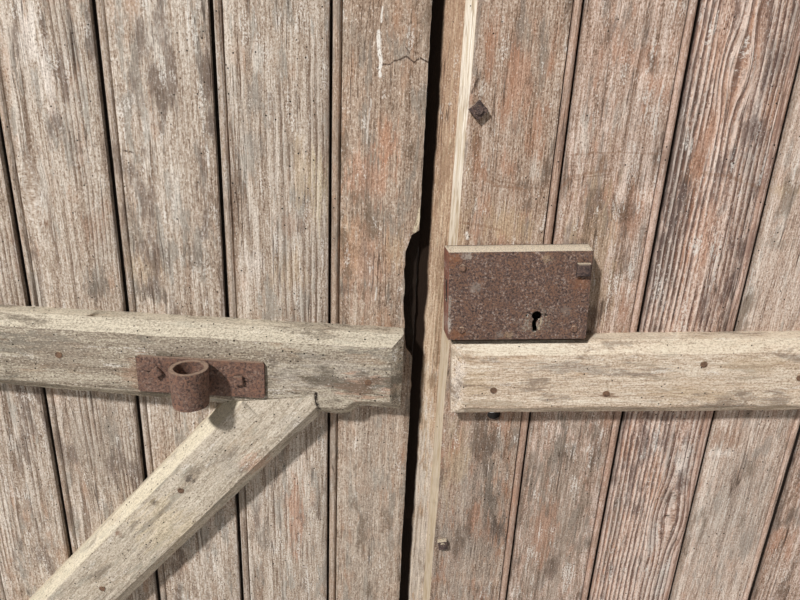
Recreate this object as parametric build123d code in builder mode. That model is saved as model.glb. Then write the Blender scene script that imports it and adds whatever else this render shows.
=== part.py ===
"""Double-leaf cellar door of beaded matchboards, with its rebated frame, strap hinges and rim lock.

X runs across the doorway, -Y faces the person inside, Z is up. The jambs stand on z = 0, and the
origin is the middle of the base of the whole door. Lengths are millimetres.
"""
from build123d import *
from math import atan2, cos, degrees, hypot, pi, radians, sin, tan
import os

os.makedirs("parts", exist_ok=True)

# Matchboards, with the cover widths counted from the meeting edge out to the hinges
left_board_widths = (91.6, 107.2, 104.9, 101.6, 102.7, 102.7, 102.6)
right_board_widths = (101.0, 101.5, 99.0, 99.0, 99.2, 99.5, 99.0)
board_thickness = 18.0
board_length = 1850.0
joint_gap = 4.5
bead_radius = 4.0
quirk_width = 1.4
tongue_thickness = 5.0
tongue_seat = 5.0
groove_clearance = 0.15

# The two leaves hang from these heights at their hinge edges and have sagged by these angles
leaf_bottom = 60.0
left_sag = 0.7
right_sag = 3.5
left_ledge_bottom = 330.0
left_ledge_middle = 976.0
left_ledge_top_drop = 270.0
right_ledge_bottom = 360.0
right_ledge_middle = 1004.9
right_ledge_top_drop = 260.0

# Meeting edges: the left one is planed upright and stands back from its joint line
meeting_gap = 1.0
meeting_inset = 3.7
edge_setback = 25.5
edge_chamfer_width = 8.0
edge_chamfer_depth = 13.0
tear_depth = 14.0
tear_outline = (
    (4.7, 1121.0), (-2.8, 1113.0), (-11.1, 1107.5), (-16.3, 1092.0), (-17.4, 1071.0),
    (-14.6, 1011.0), (-12.3, 985.0), (-4.3, 976.0), (5.7, 972.0),
)

# Ledges and brace, cut from one bevelled stock
ledge_width = 82.0
ledge_thickness = 30.0
ledge_bevel = 11.5
ledge_hinge_inset = 30.0
left_ledge_inset = 14.3
right_ledge_inset = 10.7
nose_face_height = 73.5
heel_face_height = 50.7
middle_ledge_top_rise = 29.2
scallop_length = 52.0
scallop_rise = 11.0
scallop_run = 20.0
brace_top_back = 139.4
brace_top_drop = 75.5
brace_shoulder_back = 102.3
brace_shoulder_drop = 65.7
brace_notch_rise = 7.0
brace_foot_inset = 49.0
wood_clearance = 0.3

# Nails, one for each board on each ledge: along the ledge and up from its middle
nail_places = ((3, -9), (17, -14), (9, 18), (9, 2), (7, -15), (11, 13), (5, -12))
nail_radius = 2.0
nail_head_radius = 3.5
nail_head_height = 0.8
nail_length = 46.0
brace_nail_offset = 13.0
nail_end_clearance = 0.5
fastener_clearance = 0.05

# Strap hinges and their pintles
hinge_offset = 13.0
strap_length = 430.0
strap_thickness = 5.0
strap_width = 42.0
strap_tip_width = 26.0
eye_radius = 12.0
pin_radius = 7.0
pin_clearance = 0.05
pin_top = 8.0
pin_chamfer = 1.5
shoulder_height = 14.0
shoulder_clearance = 1.2
pintle_plate_width = 34.0
pintle_plate_gap = 3.0
pintle_plate_below = 55.0
pintle_plate_above = 50.0
pintle_plate_thickness = 5.0
pintle_web = 12.0
pintle_screw_radius = 2.5
pintle_screw_head = 5.0
pintle_screw_head_height = 2.5
pintle_screw_head_round = 2.0
pintle_screw_length = 34.0
pintle_screw_margin = 26.0
strap_bolt_reaches = (70.0, 270.0, 380.0)
bolt_radius = 4.0
bolt_hole_clearance = 0.1
bolt_head_radius = 9.0
bolt_head_height = 5.0
bolt_head_round = 3.5
nut_side = 14.0
nut_height = 7.0
nut_turn = 17.0
bolt_end = 2.0

# Cover strip behind the meeting edge of the right leaf, with its through bolts
strip_thickness = 16.0
strip_reach = 54.0
strip_edge_chamfer = 3.0
strip_bolt_low = 245.0
strip_bolt_height = 736.6
strip_bolt_spacing = 491.8
strip_bolt_top_drop = 190.0
strip_nut_sides = (15.0, 11.0, 15.0, 15.0)
strip_nut_turns = (45.0, 12.0, 45.0, 30.0)
strip_nut_height = 6.0
strip_bolt_shift = 17.5

# Frame, rebated for the leaves on its outer side
jamb_face = 60.0
jamb_stop = 15.0
jamb_depth = 61.0
jamb_setback = 1.0
leaf_side_gap = 3.0
leaf_head_gap = 4.0
stop_clearance = 0.5
head_face = 60.0
tenon_width = 44.0
tenon_thickness = 18.0
tenon_height = 50.0
peg_radius = 5.0
peg_rise = 24.0
peg_spacing = 20.0
peg_stand = 2.0
wall_hole_radius = 6.0
wall_hole_low = 150.0
wall_hole_top_drop = 110.0

# Iron bar socket nailed to the left middle ledge
socket_back = 219.0
socket_drop = 18.5
socket_ring_shift = -4.5
socket_plate_length = 130.0
socket_plate_height = 40.0
socket_plate_thickness = 4.0
socket_outer_radius = 19.0
socket_bore_radius = 14.0
socket_ring_height = 40.0
socket_taper = 2.0
socket_neck = 18.0
socket_nail_places = ((-44.0, 4.0), (39.0, 0.0))
socket_nail_side = 9.0
socket_nail_height = 4.0
socket_nail_turns = (40.0, 8.0)
socket_nail_length = 33.0
socket_neck_height = 37.0
socket_plate_corner = 3.0

# Round hole through the right edge board, under the middle ledge
pull_hole_radius = 7.5
pull_hole_x = 62.4
pull_hole_drop = 93.9

# Rim lock on the right leaf, turned with the sag
lock_x = 68.8
lock_rise = 53.0
lock_width = 136.5
lock_height = 90.0
lock_depth = 28.0
lock_splay = 3.0
lock_sheet = 2.5
lock_cover_sheet = 1.5
lock_fit = 0.2
keyhole_x = 18.5
keyhole_y = -20.0
keyhole_radius = 4.8
keyhole_slot = 4.4
keyhole_drop = 17.0
keyhole_lean = -2.5
pin_hole_radius = 1.4
pin_hole_spread = 9.3
wood_keyhole_length = 34.0
wood_keyhole_width = 14.0
post_places = ((-55.0, 29.5), (-55.0, -34.5), (56.0, -34.5))
post_radius = 3.5
rivet_radius = 2.0
rivet_head_radius = 3.6
rivet_head_height = 1.6
rivet_head_round = 1.3
bolt_bar_bottom = -8.0
bolt_bar_height = 22.0
bolt_head_depth = 10.0
bolt_head_length = 48.0
bolt_tail_depth = 4.0
bolt_tail_length = 62.0
bolt_lift = 9.0
bolt_fit = 0.3
bolt_throw = 16.0
talon_radius = 5.0
talon_spacing = 16.0
guide_slot_width = 5.2
guide_radius = 2.3
guide_from_end = 12.0
ward_radius = 11.0
ward_sheet = 1.4
ward_height = 6.0
ward_opening = 16.0
spring_sheet = 1.0
spring_width = 8.0
coach_screw_place = (60.0, 27.0)
coach_screw_radius = 3.0
coach_screw_grip = 14.0
coach_head_side = 12.5
coach_head_height = 5.0
coach_head_chamfer = 1.0

# Places up the doorway
leaf_top = leaf_bottom + board_length
left_ledge_heights = (left_ledge_bottom, left_ledge_middle, leaf_top - left_ledge_top_drop)
right_ledge_heights = (right_ledge_bottom, right_ledge_middle, leaf_top - right_ledge_top_drop)
strip_bolt_heights = (strip_bolt_low, strip_bolt_height, strip_bolt_height + strip_bolt_spacing,
                      leaf_top - strip_bolt_top_drop)
wall_hole_heights = (wall_hole_low, leaf_top - wall_hole_top_drop)
middle_ledge_top = left_ledge_middle + middle_ledge_top_rise
socket_z = left_ledge_middle - socket_drop
lock_z = right_ledge_middle + lock_rise
pull_hole_z = right_ledge_middle - pull_hole_drop
strap_levels = (0, 2)

# Places across the doorway
half_opening = (sum(left_board_widths) + meeting_gap + edge_setback + sum(right_board_widths)) / 2
left_free_x = sum(left_board_widths) - half_opening
right_first_x = half_opening - sum(right_board_widths)
front_reach = ledge_thickness + socket_plate_thickness + 2 * socket_outer_radius
back_reach = board_thickness + 2 * eye_radius
y_face = (front_reach - back_reach) / 2
y_axis = y_face + board_thickness + eye_radius
face = Plane(origin=(0, y_face, 0), x_dir=(1, 0, 0), z_dir=(0, -1, 0))
hinge_x = half_opening + hinge_offset
tongue_middle = board_thickness / 2
leaves = {
    "left": (-1, left_board_widths, left_sag, left_ledge_heights, left_free_x, left_ledge_inset),
    "right": (1, right_board_widths, right_sag, right_ledge_heights, right_first_x, right_ledge_inset),
}


def sagged(side, sag, height, x):
    """Height at x of a line that leaves the hinge edge at this height and follows the sag."""
    return height - (half_opening - side * x) * tan(radians(sag))


def board_span(side, widths, start, index):
    """Near and far joint lines of one board, near being the side of the meeting edge."""
    near = start + side * sum(widths[:index])
    return near, near + side * widths[index]


def board_middle(name, index):
    side, widths, sag, heights, start, inset = leaves[name]
    near, far = board_span(side, widths, start, index)
    return (near + far) / 2


def ledge_nails(name, level):
    """Places of the nails of one ledge, which leave out what lies under the bar socket."""
    side, widths, sag, heights, start, inset = leaves[name]
    places = []
    for index, (along, up) in enumerate(nail_places):
        x = board_middle(name, index) + side * along
        under_socket = abs(x - bar_socket_x) < socket_plate_length / 2 + 2 * nail_head_radius
        if level != 1 or not under_socket:
            places.append((x, sagged(side, sag, heights[level], x) + up))
    return places


def strap_bolt_places(name, level):
    side, widths, sag, heights, start, inset = leaves[name]
    places = []
    for reach in strap_bolt_reaches:
        x = side * (hinge_x - reach)
        places.append((x, sagged(side, sag, heights[level], x)))
    return places


def on_line(x, start, slope):
    """Point at x of the line through start."""
    return (x, start[1] + (x - start[0]) * slope)


meeting_x = left_free_x - meeting_inset
bar_socket_x = left_free_x - socket_back
strip_bolt_x = right_first_x + strip_bolt_shift
strip_left_x = meeting_x + meeting_gap
strip_right_x = right_first_x + strip_reach
lock_centre_x = right_first_x + lock_x
nail_hole_radius = nail_radius + fastener_clearance
bolt_hole_radius = bolt_radius + bolt_hole_clearance

# Lines of the brace: its axis, the notch under the middle ledge, and its foot on the bottom ledge
brace_top_x = left_free_x - brace_top_back
brace_top_z = middle_ledge_top - brace_top_drop
brace_foot_x = -half_opening + ledge_hinge_inset + brace_foot_inset
brace_foot_z = sagged(-1, left_sag, left_ledge_heights[0], brace_foot_x) + ledge_width / 2
brace_angle = atan2(brace_top_z - brace_foot_z, brace_top_x - brace_foot_x)
brace_length = hypot(brace_top_z - brace_foot_z, brace_top_x - brace_foot_x)
brace_middle = ((brace_top_x + brace_foot_x) / 2, (brace_top_z + brace_foot_z) / 2)
brace_shoulder = (left_free_x - brace_shoulder_back, middle_ledge_top - brace_shoulder_drop)
notch_slope = tan(radians(brace_notch_rise))
foot_slope = -tan(radians(left_sag))
brace_heel_x = -half_opening + ledge_hinge_inset


def brace_outline(clearance):
    """Brace as it lies on the boards, cut at the notch above and on the bottom ledge below."""
    with Locations(brace_middle):
        Rectangle(brace_length + 2 * ledge_width, ledge_width, rotation=degrees(brace_angle))
    foot_start = (brace_foot_x, brace_foot_z + wood_clearance)
    Polygon(
        brace_shoulder,
        on_line(brace_shoulder[0], foot_start, foot_slope),
        on_line(brace_heel_x, foot_start, foot_slope),
        on_line(brace_heel_x, brace_shoulder, notch_slope),
        align=None,
        mode=Mode.INTERSECT,
    )
    if clearance:
        offset(amount=clearance, kind=Kind.INTERSECTION)


def brace_nail_places():
    places = []
    for index, across in ((2, 1), (3, -1), (4, 1)):
        x = board_middle("left", index)
        z = brace_top_z + (x - brace_top_x) * tan(brace_angle) + across * brace_nail_offset
        places.append((x, z))
    return places


lock_turn = radians(right_sag)
lock_face = Plane(
    origin=(lock_centre_x, y_face, lock_z),
    x_dir=(cos(lock_turn), 0, sin(lock_turn)),
    z_dir=(0, -1, 0),
)
socket_face = Plane(
    origin=(bar_socket_x, y_face - ledge_thickness, socket_z),
    x_dir=(cos(radians(left_sag)), 0, -sin(radians(left_sag))),
    z_dir=(0, -1, 0),
)

# Boards: beaded and tongued on the side of the hinges, grooved on the side of the meeting edge
for name, (side, widths, sag, heights, start, inset) in leaves.items():
    last = len(widths) - 1
    for index in range(len(widths)):
        near, far = board_span(side, widths, start, index)
        middle = (near + far) / 2
        bottom = sagged(side, sag, leaf_bottom, middle)
        near_face = near + side * joint_gap / 2
        far_face = far - side * joint_gap / 2
        if index == 0:
            near_face = near
        if index == 0 and name == "left":
            near_face = meeting_x
        if index == last:
            far_face = far
        with BuildPart() as board:
            with BuildSketch(Plane.XY.offset(bottom)):
                with Locations(((near_face + far_face) / 2, y_face + board_thickness / 2)):
                    Rectangle(abs(far_face - near_face), board_thickness)
                if index < last:
                    moulding = 2 * bead_radius + quirk_width
                    with Locations((far_face - side * moulding / 2, y_face + bead_radius / 2)):
                        Rectangle(moulding, bead_radius, mode=Mode.SUBTRACT)
                    with Locations((far_face - side * bead_radius, y_face + bead_radius)):
                        Circle(bead_radius)
                    tongue = joint_gap + tongue_seat
                    with Locations((far_face + side * tongue / 2, y_face + tongue_middle)):
                        Rectangle(tongue, tongue_thickness)
                if index > 0:
                    groove = tongue_seat + groove_clearance
                    with Locations((near_face + side * groove / 2, y_face + tongue_middle)):
                        groove_width = tongue_thickness + 2 * groove_clearance
                        Rectangle(groove, groove_width, mode=Mode.SUBTRACT)
                if index == 0 and name == "right":
                    with BuildLine():
                        Polyline(
                            (near, y_face),
                            (near + edge_chamfer_width, y_face),
                            (near, y_face + edge_chamfer_depth),
                            close=True,
                        )
                    make_face(mode=Mode.SUBTRACT)
            extrude(amount=board_length)
            nails = [place for level in range(3) for place in ledge_nails(name, level)
                     if abs(place[0] - middle) < widths[index] / 2]
            if name == "left":
                nails += [place for place in brace_nail_places()
                          if abs(place[0] - middle) < widths[index] / 2]
            with BuildSketch(face.offset(ledge_thickness)):
                with Locations(*nails):
                    Circle(nail_hole_radius)
            extrude(amount=-nail_length, mode=Mode.SUBTRACT)
            bolts = [place for level in strap_levels for place in strap_bolt_places(name, level)
                     if abs(place[0] - middle) < widths[index] / 2]
            if bolts:
                with BuildSketch(face):
                    with Locations(*bolts):
                        Circle(bolt_hole_radius)
                extrude(amount=-board_thickness, mode=Mode.SUBTRACT)
            if index == 0 and name == "left":
                with BuildSketch(face):
                    with BuildLine():
                        Polyline(*[(left_free_x + x, z) for x, z in tear_outline], close=True)
                    make_face()
                extrude(amount=-tear_depth, mode=Mode.SUBTRACT)
            if index == 0 and name == "right":
                with BuildSketch(face):
                    with Locations(*[(strip_bolt_x, height) for height in strip_bolt_heights]):
                        Circle(bolt_hole_radius)
                    with Locations((right_first_x + pull_hole_x, pull_hole_z)):
                        Circle(pull_hole_radius)
                extrude(amount=-board_thickness, mode=Mode.SUBTRACT)
                with BuildSketch(lock_face):
                    with Locations((keyhole_x + keyhole_lean / 2, keyhole_y - keyhole_drop / 2)):
                        SlotOverall(wood_keyhole_length, wood_keyhole_width, rotation=90)
                extrude(amount=-board_thickness, mode=Mode.SUBTRACT)
            if index == 1 and name == "right":
                with BuildSketch(lock_face):
                    with Locations(coach_screw_place):
                        Circle(coach_screw_radius + fastener_clearance)
                extrude(amount=-coach_screw_grip - fastener_clearance, mode=Mode.SUBTRACT)
        board.part.label = f"{name}_board_{index + 1}"
        export_step(board.part, f"parts/{name}_board_{index + 1}.step")

# Ledges: straight bevelled rails, apart from the middle one of the left leaf
level_names = ("bottom", "middle", "top")
for name, (side, widths, sag, heights, start, inset) in leaves.items():
    for level, level_name in enumerate(level_names):
        near_x = start + side * inset
        far_x = side * (half_opening - ledge_hinge_inset)
        middle_x = (near_x + far_x) / 2
        middle_z = sagged(side, sag, heights[level], middle_x)
        with BuildPart() as ledge:
            with BuildSketch(face):
                if name == "left" and level == 1:
                    nose_x = near_x - ledge_bevel
                    heel_x = far_x + ledge_bevel
                    nose_top = middle_ledge_top - (nose_x - heel_x) * tan(radians(sag))
                    heel_bottom = middle_ledge_top - heel_face_height
                    nose_bottom = nose_top - nose_face_height
                    scallop_x = nose_x - scallop_length
                    lower_slope = (nose_bottom - heel_bottom) / (nose_x - heel_x)
                    low_z = on_line(scallop_x, (heel_x, heel_bottom), lower_slope)[1]
                    scallop = [(scallop_x + scallop_run * step,
                                low_z + scallop_rise * (1 - cos(pi * step)) / 2)
                               for step in (1, 0.83, 0.67, 0.5, 0.33, 0.17, 0)]
                    with BuildLine():
                        Polyline((heel_x, heel_bottom), (heel_x, middle_ledge_top), (nose_x, nose_top),
                                 (nose_x, scallop[0][1] - 1.0), *scallop, close=True)
                    make_face()
                    offset(amount=ledge_bevel, kind=Kind.INTERSECTION)
                else:
                    with Locations((middle_x, middle_z)):
                        length = abs(far_x - near_x) / cos(radians(sag))
                        Rectangle(length, ledge_width, rotation=side * sag)
            extrude(amount=ledge_thickness)
            chamfer(ledge.faces().sort_by(Axis.Y)[0].edges(), length=ledge_bevel)
            if name == "left" and level == 1:
                with BuildSketch(face):
                    brace_outline(wood_clearance)
                extrude(amount=ledge_thickness, mode=Mode.SUBTRACT)
                with BuildSketch(socket_face):
                    with Locations(*socket_nail_places):
                        Circle(nail_hole_radius)
                extrude(amount=-ledge_thickness, mode=Mode.SUBTRACT)
            with BuildSketch(face):
                with Locations(*ledge_nails(name, level)):
                    Circle(nail_hole_radius)
                if level != 1:
                    with Locations(*strap_bolt_places(name, level)):
                        Circle(bolt_hole_radius)
            extrude(amount=ledge_thickness, mode=Mode.SUBTRACT)
        ledge.part.label = f"{name}_ledge_{level_name}"
        export_step(ledge.part, f"parts/{name}_ledge_{level_name}.step")

# Brace of the left leaf, from the hinge end of the bottom ledge up to the middle one
with BuildPart() as brace:
    with BuildSketch(face):
        brace_outline(0)
    extrude(amount=ledge_thickness)
    long_edges = brace.faces().sort_by(Axis.Y)[0].edges().sort_by(SortBy.LENGTH)[-2:]
    chamfer(long_edges, length=ledge_bevel)
    with BuildSketch(face):
        with Locations(*brace_nail_places()):
            Circle(nail_hole_radius)
    extrude(amount=ledge_thickness, mode=Mode.SUBTRACT)
brace.part.label = "left_brace"
export_step(brace.part, "parts/left_brace.step")

# Wrought nails of the ledges, with the brace's in the left group
for name in leaves:
    places = [place for level in range(3) for place in ledge_nails(name, level)]
    if name == "left":
        places += brace_nail_places()
    with BuildPart() as nails:
        with BuildSketch(face.offset(ledge_thickness)):
            with Locations(*places):
                Circle(nail_radius)
        extrude(amount=-(nail_length - nail_end_clearance))
        with BuildSketch(face.offset(ledge_thickness)):
            with Locations(*places):
                Circle(nail_head_radius)
        extrude(amount=nail_head_height)
    nails.part.label = f"{name}_ledge_nails"
    export_step(nails.part, f"parts/{name}_ledge_nails.step")

# Strap hinges: a tapered strap along each outer ledge line, rolled into an upright eye
for name, (side, widths, sag, heights, start, inset) in leaves.items():
    for level in strap_levels:
        eye_z = sagged(side, sag, heights[level], side * hinge_x)
        with BuildPart() as strap:
            with BuildSketch(face.offset(-board_thickness)):
                root = Vector(side * hinge_x, eye_z)
                run = Vector(-side * cos(radians(sag)), -sin(radians(sag)))
                across = Vector(sin(radians(sag)), -side * cos(radians(sag)))
                tip = root + run * strap_length
                with BuildLine():
                    Polyline(
                        root + across * (strap_width / 2),
                        tip + across * (strap_tip_width / 2),
                        tip - across * (strap_tip_width / 2),
                        root - across * (strap_width / 2),
                        close=True,
                    )
                make_face()
                with Locations(tip):
                    Circle(strap_tip_width / 2)
                with Locations(*strap_bolt_places(name, level)):
                    Circle(bolt_hole_radius, mode=Mode.SUBTRACT)
            extrude(amount=-strap_thickness)
            with BuildSketch(Plane.XY.offset(eye_z - strap_width / 2)):
                with Locations((side * hinge_x, y_axis)):
                    Circle(eye_radius)
            extrude(amount=strap_width)
            with BuildSketch(Plane.XY.offset(eye_z - strap_width)):
                with Locations((side * hinge_x, y_axis)):
                    Circle(pin_radius + pin_clearance)
            extrude(amount=2 * strap_width, mode=Mode.SUBTRACT)
        strap.part.label = f"{name}_strap_{level_names[level]}"
        export_step(strap.part, f"parts/{name}_strap_{level_names[level]}.step")

        shoulder_z = eye_z - strap_width / 2 - shoulder_clearance - shoulder_height
        plate_near = hinge_x + eye_radius + pintle_plate_gap
        plate_z = shoulder_z + shoulder_height / 2 + (pintle_plate_above - pintle_plate_below) / 2
        plate_height = pintle_plate_above + pintle_plate_below
        screw_x = side * (plate_near + pintle_plate_width / 2)
        with BuildPart() as pintle:
            with BuildSketch(face.offset(jamb_setback - board_thickness)):
                with Locations((screw_x, plate_z)):
                    Rectangle(pintle_plate_width, plate_height)
                with Locations((screw_x, plate_z)):
                    with GridLocations(1, plate_height / 2 - pintle_screw_margin / 2, 1, 3):
                        Circle(pintle_screw_radius + fastener_clearance, mode=Mode.SUBTRACT)
            extrude(amount=-pintle_plate_thickness)
            with BuildSketch(Plane.XY.offset(shoulder_z)):
                with Locations((side * hinge_x, y_axis)):
                    Circle(eye_radius)
                web_length = plate_near + pintle_plate_width / 4 - hinge_x
                with Locations((side * (hinge_x + web_length / 2), y_axis - eye_radius + pintle_web / 2)):
                    Rectangle(web_length, pintle_web)
            extrude(amount=shoulder_height)
            with BuildSketch(Plane.XY.offset(shoulder_z)):
                with Locations((side * hinge_x, y_axis)):
                    Circle(pin_radius)
            extrude(amount=shoulder_height + shoulder_clearance + strap_width + pin_top)
            chamfer(pintle.faces().sort_by(Axis.Z)[-1].edges(), length=pin_chamfer)
        pintle.part.label = f"pintle_{name}_{level_names[level]}"
        export_step(pintle.part, f"parts/pintle_{name}_{level_names[level]}.step")

# Bolts of the straps, domed outside and nutted on the ledges inside
for name, (side, widths, sag, heights, start, inset) in leaves.items():
    places = strap_bolt_places(name, 0) + strap_bolt_places(name, 2)
    with BuildPart() as bolts:
        with BuildSketch(face.offset(-board_thickness - strap_thickness)):
            with Locations(*places):
                Circle(bolt_head_radius)
        extrude(amount=-bolt_head_height)
        fillet(bolts.edges().group_by(Axis.Y)[-1], radius=bolt_head_round)
        with BuildSketch(face.offset(-board_thickness - strap_thickness)):
            with Locations(*places):
                Circle(bolt_radius)
        extrude(amount=strap_thickness + board_thickness + ledge_thickness + nut_height + bolt_end)
    bolts.part.label = f"{name}_strap_bolts"
    export_step(bolts.part, f"parts/{name}_strap_bolts.step")

    with BuildPart() as nuts:
        with BuildSketch(face.offset(ledge_thickness)):
            for count, place in enumerate(places):
                with Locations(place):
                    Rectangle(nut_side, nut_side, rotation=nut_turn * count)
            with Locations(*places):
                Circle(bolt_hole_radius, mode=Mode.SUBTRACT)
        extrude(amount=nut_height)
    nuts.part.label = f"{name}_strap_nuts"
    export_step(nuts.part, f"parts/{name}_strap_nuts.step")

# Cover strip, close beside the free edge of the left leaf
strip_bottom = sagged(1, right_sag, leaf_bottom, board_middle("right", 0))
strip_bolt_places = [(strip_bolt_x, height) for height in strip_bolt_heights]
with BuildPart() as cover_strip:
    with BuildSketch(face.offset(-board_thickness)):
        with Locations(((strip_left_x + strip_right_x) / 2, strip_bottom + board_length / 2)):
            Rectangle(strip_right_x - strip_left_x, board_length)
        with Locations(*strip_bolt_places):
            Circle(bolt_hole_radius, mode=Mode.SUBTRACT)
    extrude(amount=-strip_thickness)
    outer_edges = cover_strip.faces().sort_by(Axis.Y)[-1].outer_wire().edges()
    chamfer(outer_edges, length=strip_edge_chamfer)
cover_strip.part.label = "cover_strip"
export_step(cover_strip.part, "parts/cover_strip.step")

with BuildPart() as cover_strip_bolts:
    with BuildSketch(face.offset(-board_thickness - strip_thickness)):
        with Locations(*strip_bolt_places):
            Circle(bolt_head_radius)
    extrude(amount=-bolt_head_height)
    fillet(cover_strip_bolts.edges().group_by(Axis.Y)[-1], radius=bolt_head_round)
    with BuildSketch(face.offset(-board_thickness - strip_thickness)):
        with Locations(*strip_bolt_places):
            Circle(bolt_radius)
    extrude(amount=strip_thickness + board_thickness + strip_nut_height + bolt_end)
cover_strip_bolts.part.label = "cover_strip_bolts"
export_step(cover_strip_bolts.part, "parts/cover_strip_bolts.step")

with BuildPart() as cover_strip_nuts:
    with BuildSketch(face):
        for place, nut, turn in zip(strip_bolt_places, strip_nut_sides, strip_nut_turns):
            with Locations(place):
                Rectangle(nut, nut, rotation=turn)
        with Locations(*strip_bolt_places):
            Circle(bolt_hole_radius, mode=Mode.SUBTRACT)
    extrude(amount=strip_nut_height)
cover_strip_nuts.part.label = "cover_strip_nuts"
export_step(cover_strip_nuts.part, "parts/cover_strip_nuts.step")

# Iron socket for a bar: a strap plate with an upright tapered ring forged to it
ring_top = socket_z + socket_ring_height / 2
ring_centre = (bar_socket_x + socket_ring_shift,
               y_face - ledge_thickness - socket_plate_thickness - socket_outer_radius)
with BuildPart() as bar_socket:
    with BuildSketch(socket_face):
        RectangleRounded(socket_plate_length, socket_plate_height, socket_plate_corner)
        with Locations(*socket_nail_places):
            Circle(nail_hole_radius, mode=Mode.SUBTRACT)
    extrude(amount=socket_plate_thickness)
    with BuildSketch(Plane.XY.offset(ring_top)):
        with Locations(ring_centre):
            Circle(socket_outer_radius)
    extrude(amount=-socket_ring_height, taper=socket_taper)
    with BuildSketch(Plane.XY.offset(ring_top - socket_ring_height)):
        neck_length = socket_outer_radius + socket_plate_thickness / 2
        with Locations((ring_centre[0], ring_centre[1] + neck_length / 2)):
            Rectangle(socket_neck, neck_length)
    extrude(amount=socket_neck_height)
    with BuildSketch(Plane.XY.offset(ring_top - socket_ring_height)):
        with Locations(ring_centre):
            Circle(socket_bore_radius)
    extrude(amount=socket_ring_height, mode=Mode.SUBTRACT)
bar_socket.part.label = "bar_socket"
export_step(bar_socket.part, "parts/bar_socket.step")

with BuildPart() as bar_socket_nails:
    with BuildSketch(socket_face.offset(socket_plate_thickness)):
        with Locations(*socket_nail_places):
            Circle(nail_radius)
    extrude(amount=-(socket_nail_length - nail_end_clearance))
    with BuildSketch(socket_face.offset(socket_plate_thickness)):
        for place, turn in zip(socket_nail_places, socket_nail_turns):
            with Locations(place):
                Rectangle(socket_nail_side, socket_nail_side, rotation=turn)
    extrude(amount=socket_nail_height)
bar_socket_nails.part.label = "bar_socket_nails"
export_step(bar_socket_nails.part, "parts/bar_socket_nails.step")

# Frame: two rebated jambs tenoned and pegged into a rebated head
rebate_x = half_opening + leaf_side_gap
jamb_x = rebate_x + jamb_face / 2
rebate_top = leaf_top + leaf_head_gap
head_bottom = rebate_top - jamb_stop
frame_back = board_thickness - jamb_setback
frame_front = jamb_depth - frame_back
frame_y = y_face + (frame_back - frame_front) / 2
rebate_depth = frame_back + stop_clearance
rebate_y = y_face + frame_back - rebate_depth / 2
tenon_y = y_face - frame_front / 2
peg_places = [(side * jamb_x + shift, head_bottom + peg_rise)
              for side in (-1, 1) for shift in (-peg_spacing / 2, peg_spacing / 2)]
pintle_plate_x = hinge_x + eye_radius + pintle_plate_gap + pintle_plate_width / 2


def pintle_screw_places(name):
    side, widths, sag, heights, start, inset = leaves[name]
    places = []
    for level in strap_levels:
        eye_z = sagged(side, sag, heights[level], side * hinge_x)
        middle = eye_z - strap_width / 2 - shoulder_clearance - shoulder_height / 2
        middle += (pintle_plate_above - pintle_plate_below) / 2
        pitch = (pintle_plate_above + pintle_plate_below - pintle_screw_margin) / 2
        places += [(side * pintle_plate_x, middle + step * pitch) for step in (-1, 0, 1)]
    return places


for name, (side, widths, sag, heights, start, inset) in leaves.items():
    with BuildPart() as jamb:
        with BuildSketch(Plane.XY):
            with Locations((side * (jamb_x - jamb_stop / 2), frame_y)):
                Rectangle(jamb_face + jamb_stop, jamb_depth)
            with Locations((side * (rebate_x - jamb_stop / 2), rebate_y)):
                Rectangle(jamb_stop, rebate_depth, mode=Mode.SUBTRACT)
        extrude(amount=head_bottom)
        with BuildSketch(Plane.XY.offset(head_bottom)):
            with Locations((side * jamb_x, tenon_y)):
                Rectangle(tenon_width, tenon_thickness)
        extrude(amount=tenon_height)
        with BuildSketch(face.offset(frame_front)):
            with Locations(*peg_places):
                Circle(peg_radius + fastener_clearance)
            with Locations(*[(side * jamb_x, height) for height in wall_hole_heights]):
                Circle(wall_hole_radius)
        extrude(amount=-jamb_depth, mode=Mode.SUBTRACT)
        with BuildSketch(face.offset(-frame_back)):
            with Locations(*pintle_screw_places(name)):
                Circle(pintle_screw_radius + fastener_clearance)
        extrude(amount=pintle_screw_length - pintle_plate_thickness, mode=Mode.SUBTRACT)
    jamb.part.label = f"jamb_{name}"
    export_step(jamb.part, f"parts/jamb_{name}.step")

with BuildPart() as head_rail:
    with BuildSketch(Plane.XY.offset(head_bottom)):
        with Locations((0, frame_y)):
            Rectangle(2 * (rebate_x + jamb_face), jamb_depth)
    extrude(amount=head_face + jamb_stop)
    with BuildSketch(Plane.XY.offset(head_bottom)):
        with Locations((0, rebate_y)):
            Rectangle(2 * rebate_x, rebate_depth)
    extrude(amount=jamb_stop, mode=Mode.SUBTRACT)
    with BuildSketch(Plane.XY.offset(head_bottom)):
        with Locations((-jamb_x, tenon_y), (jamb_x, tenon_y)):
            Rectangle(tenon_width + 2 * groove_clearance, tenon_thickness + 2 * groove_clearance)
    extrude(amount=tenon_height + groove_clearance, mode=Mode.SUBTRACT)
    with BuildSketch(face.offset(frame_front)):
        with Locations(*peg_places):
            Circle(peg_radius + fastener_clearance)
    extrude(amount=-jamb_depth, mode=Mode.SUBTRACT)
head_rail.part.label = "head_rail"
export_step(head_rail.part, "parts/head_rail.step")

with BuildPart() as frame_pegs:
    with BuildSketch(face.offset(frame_front + peg_stand)):
        with Locations(*peg_places):
            Circle(peg_radius)
    extrude(amount=-(jamb_depth + peg_stand))
frame_pegs.part.label = "frame_pegs"
export_step(frame_pegs.part, "parts/frame_pegs.step")

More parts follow.
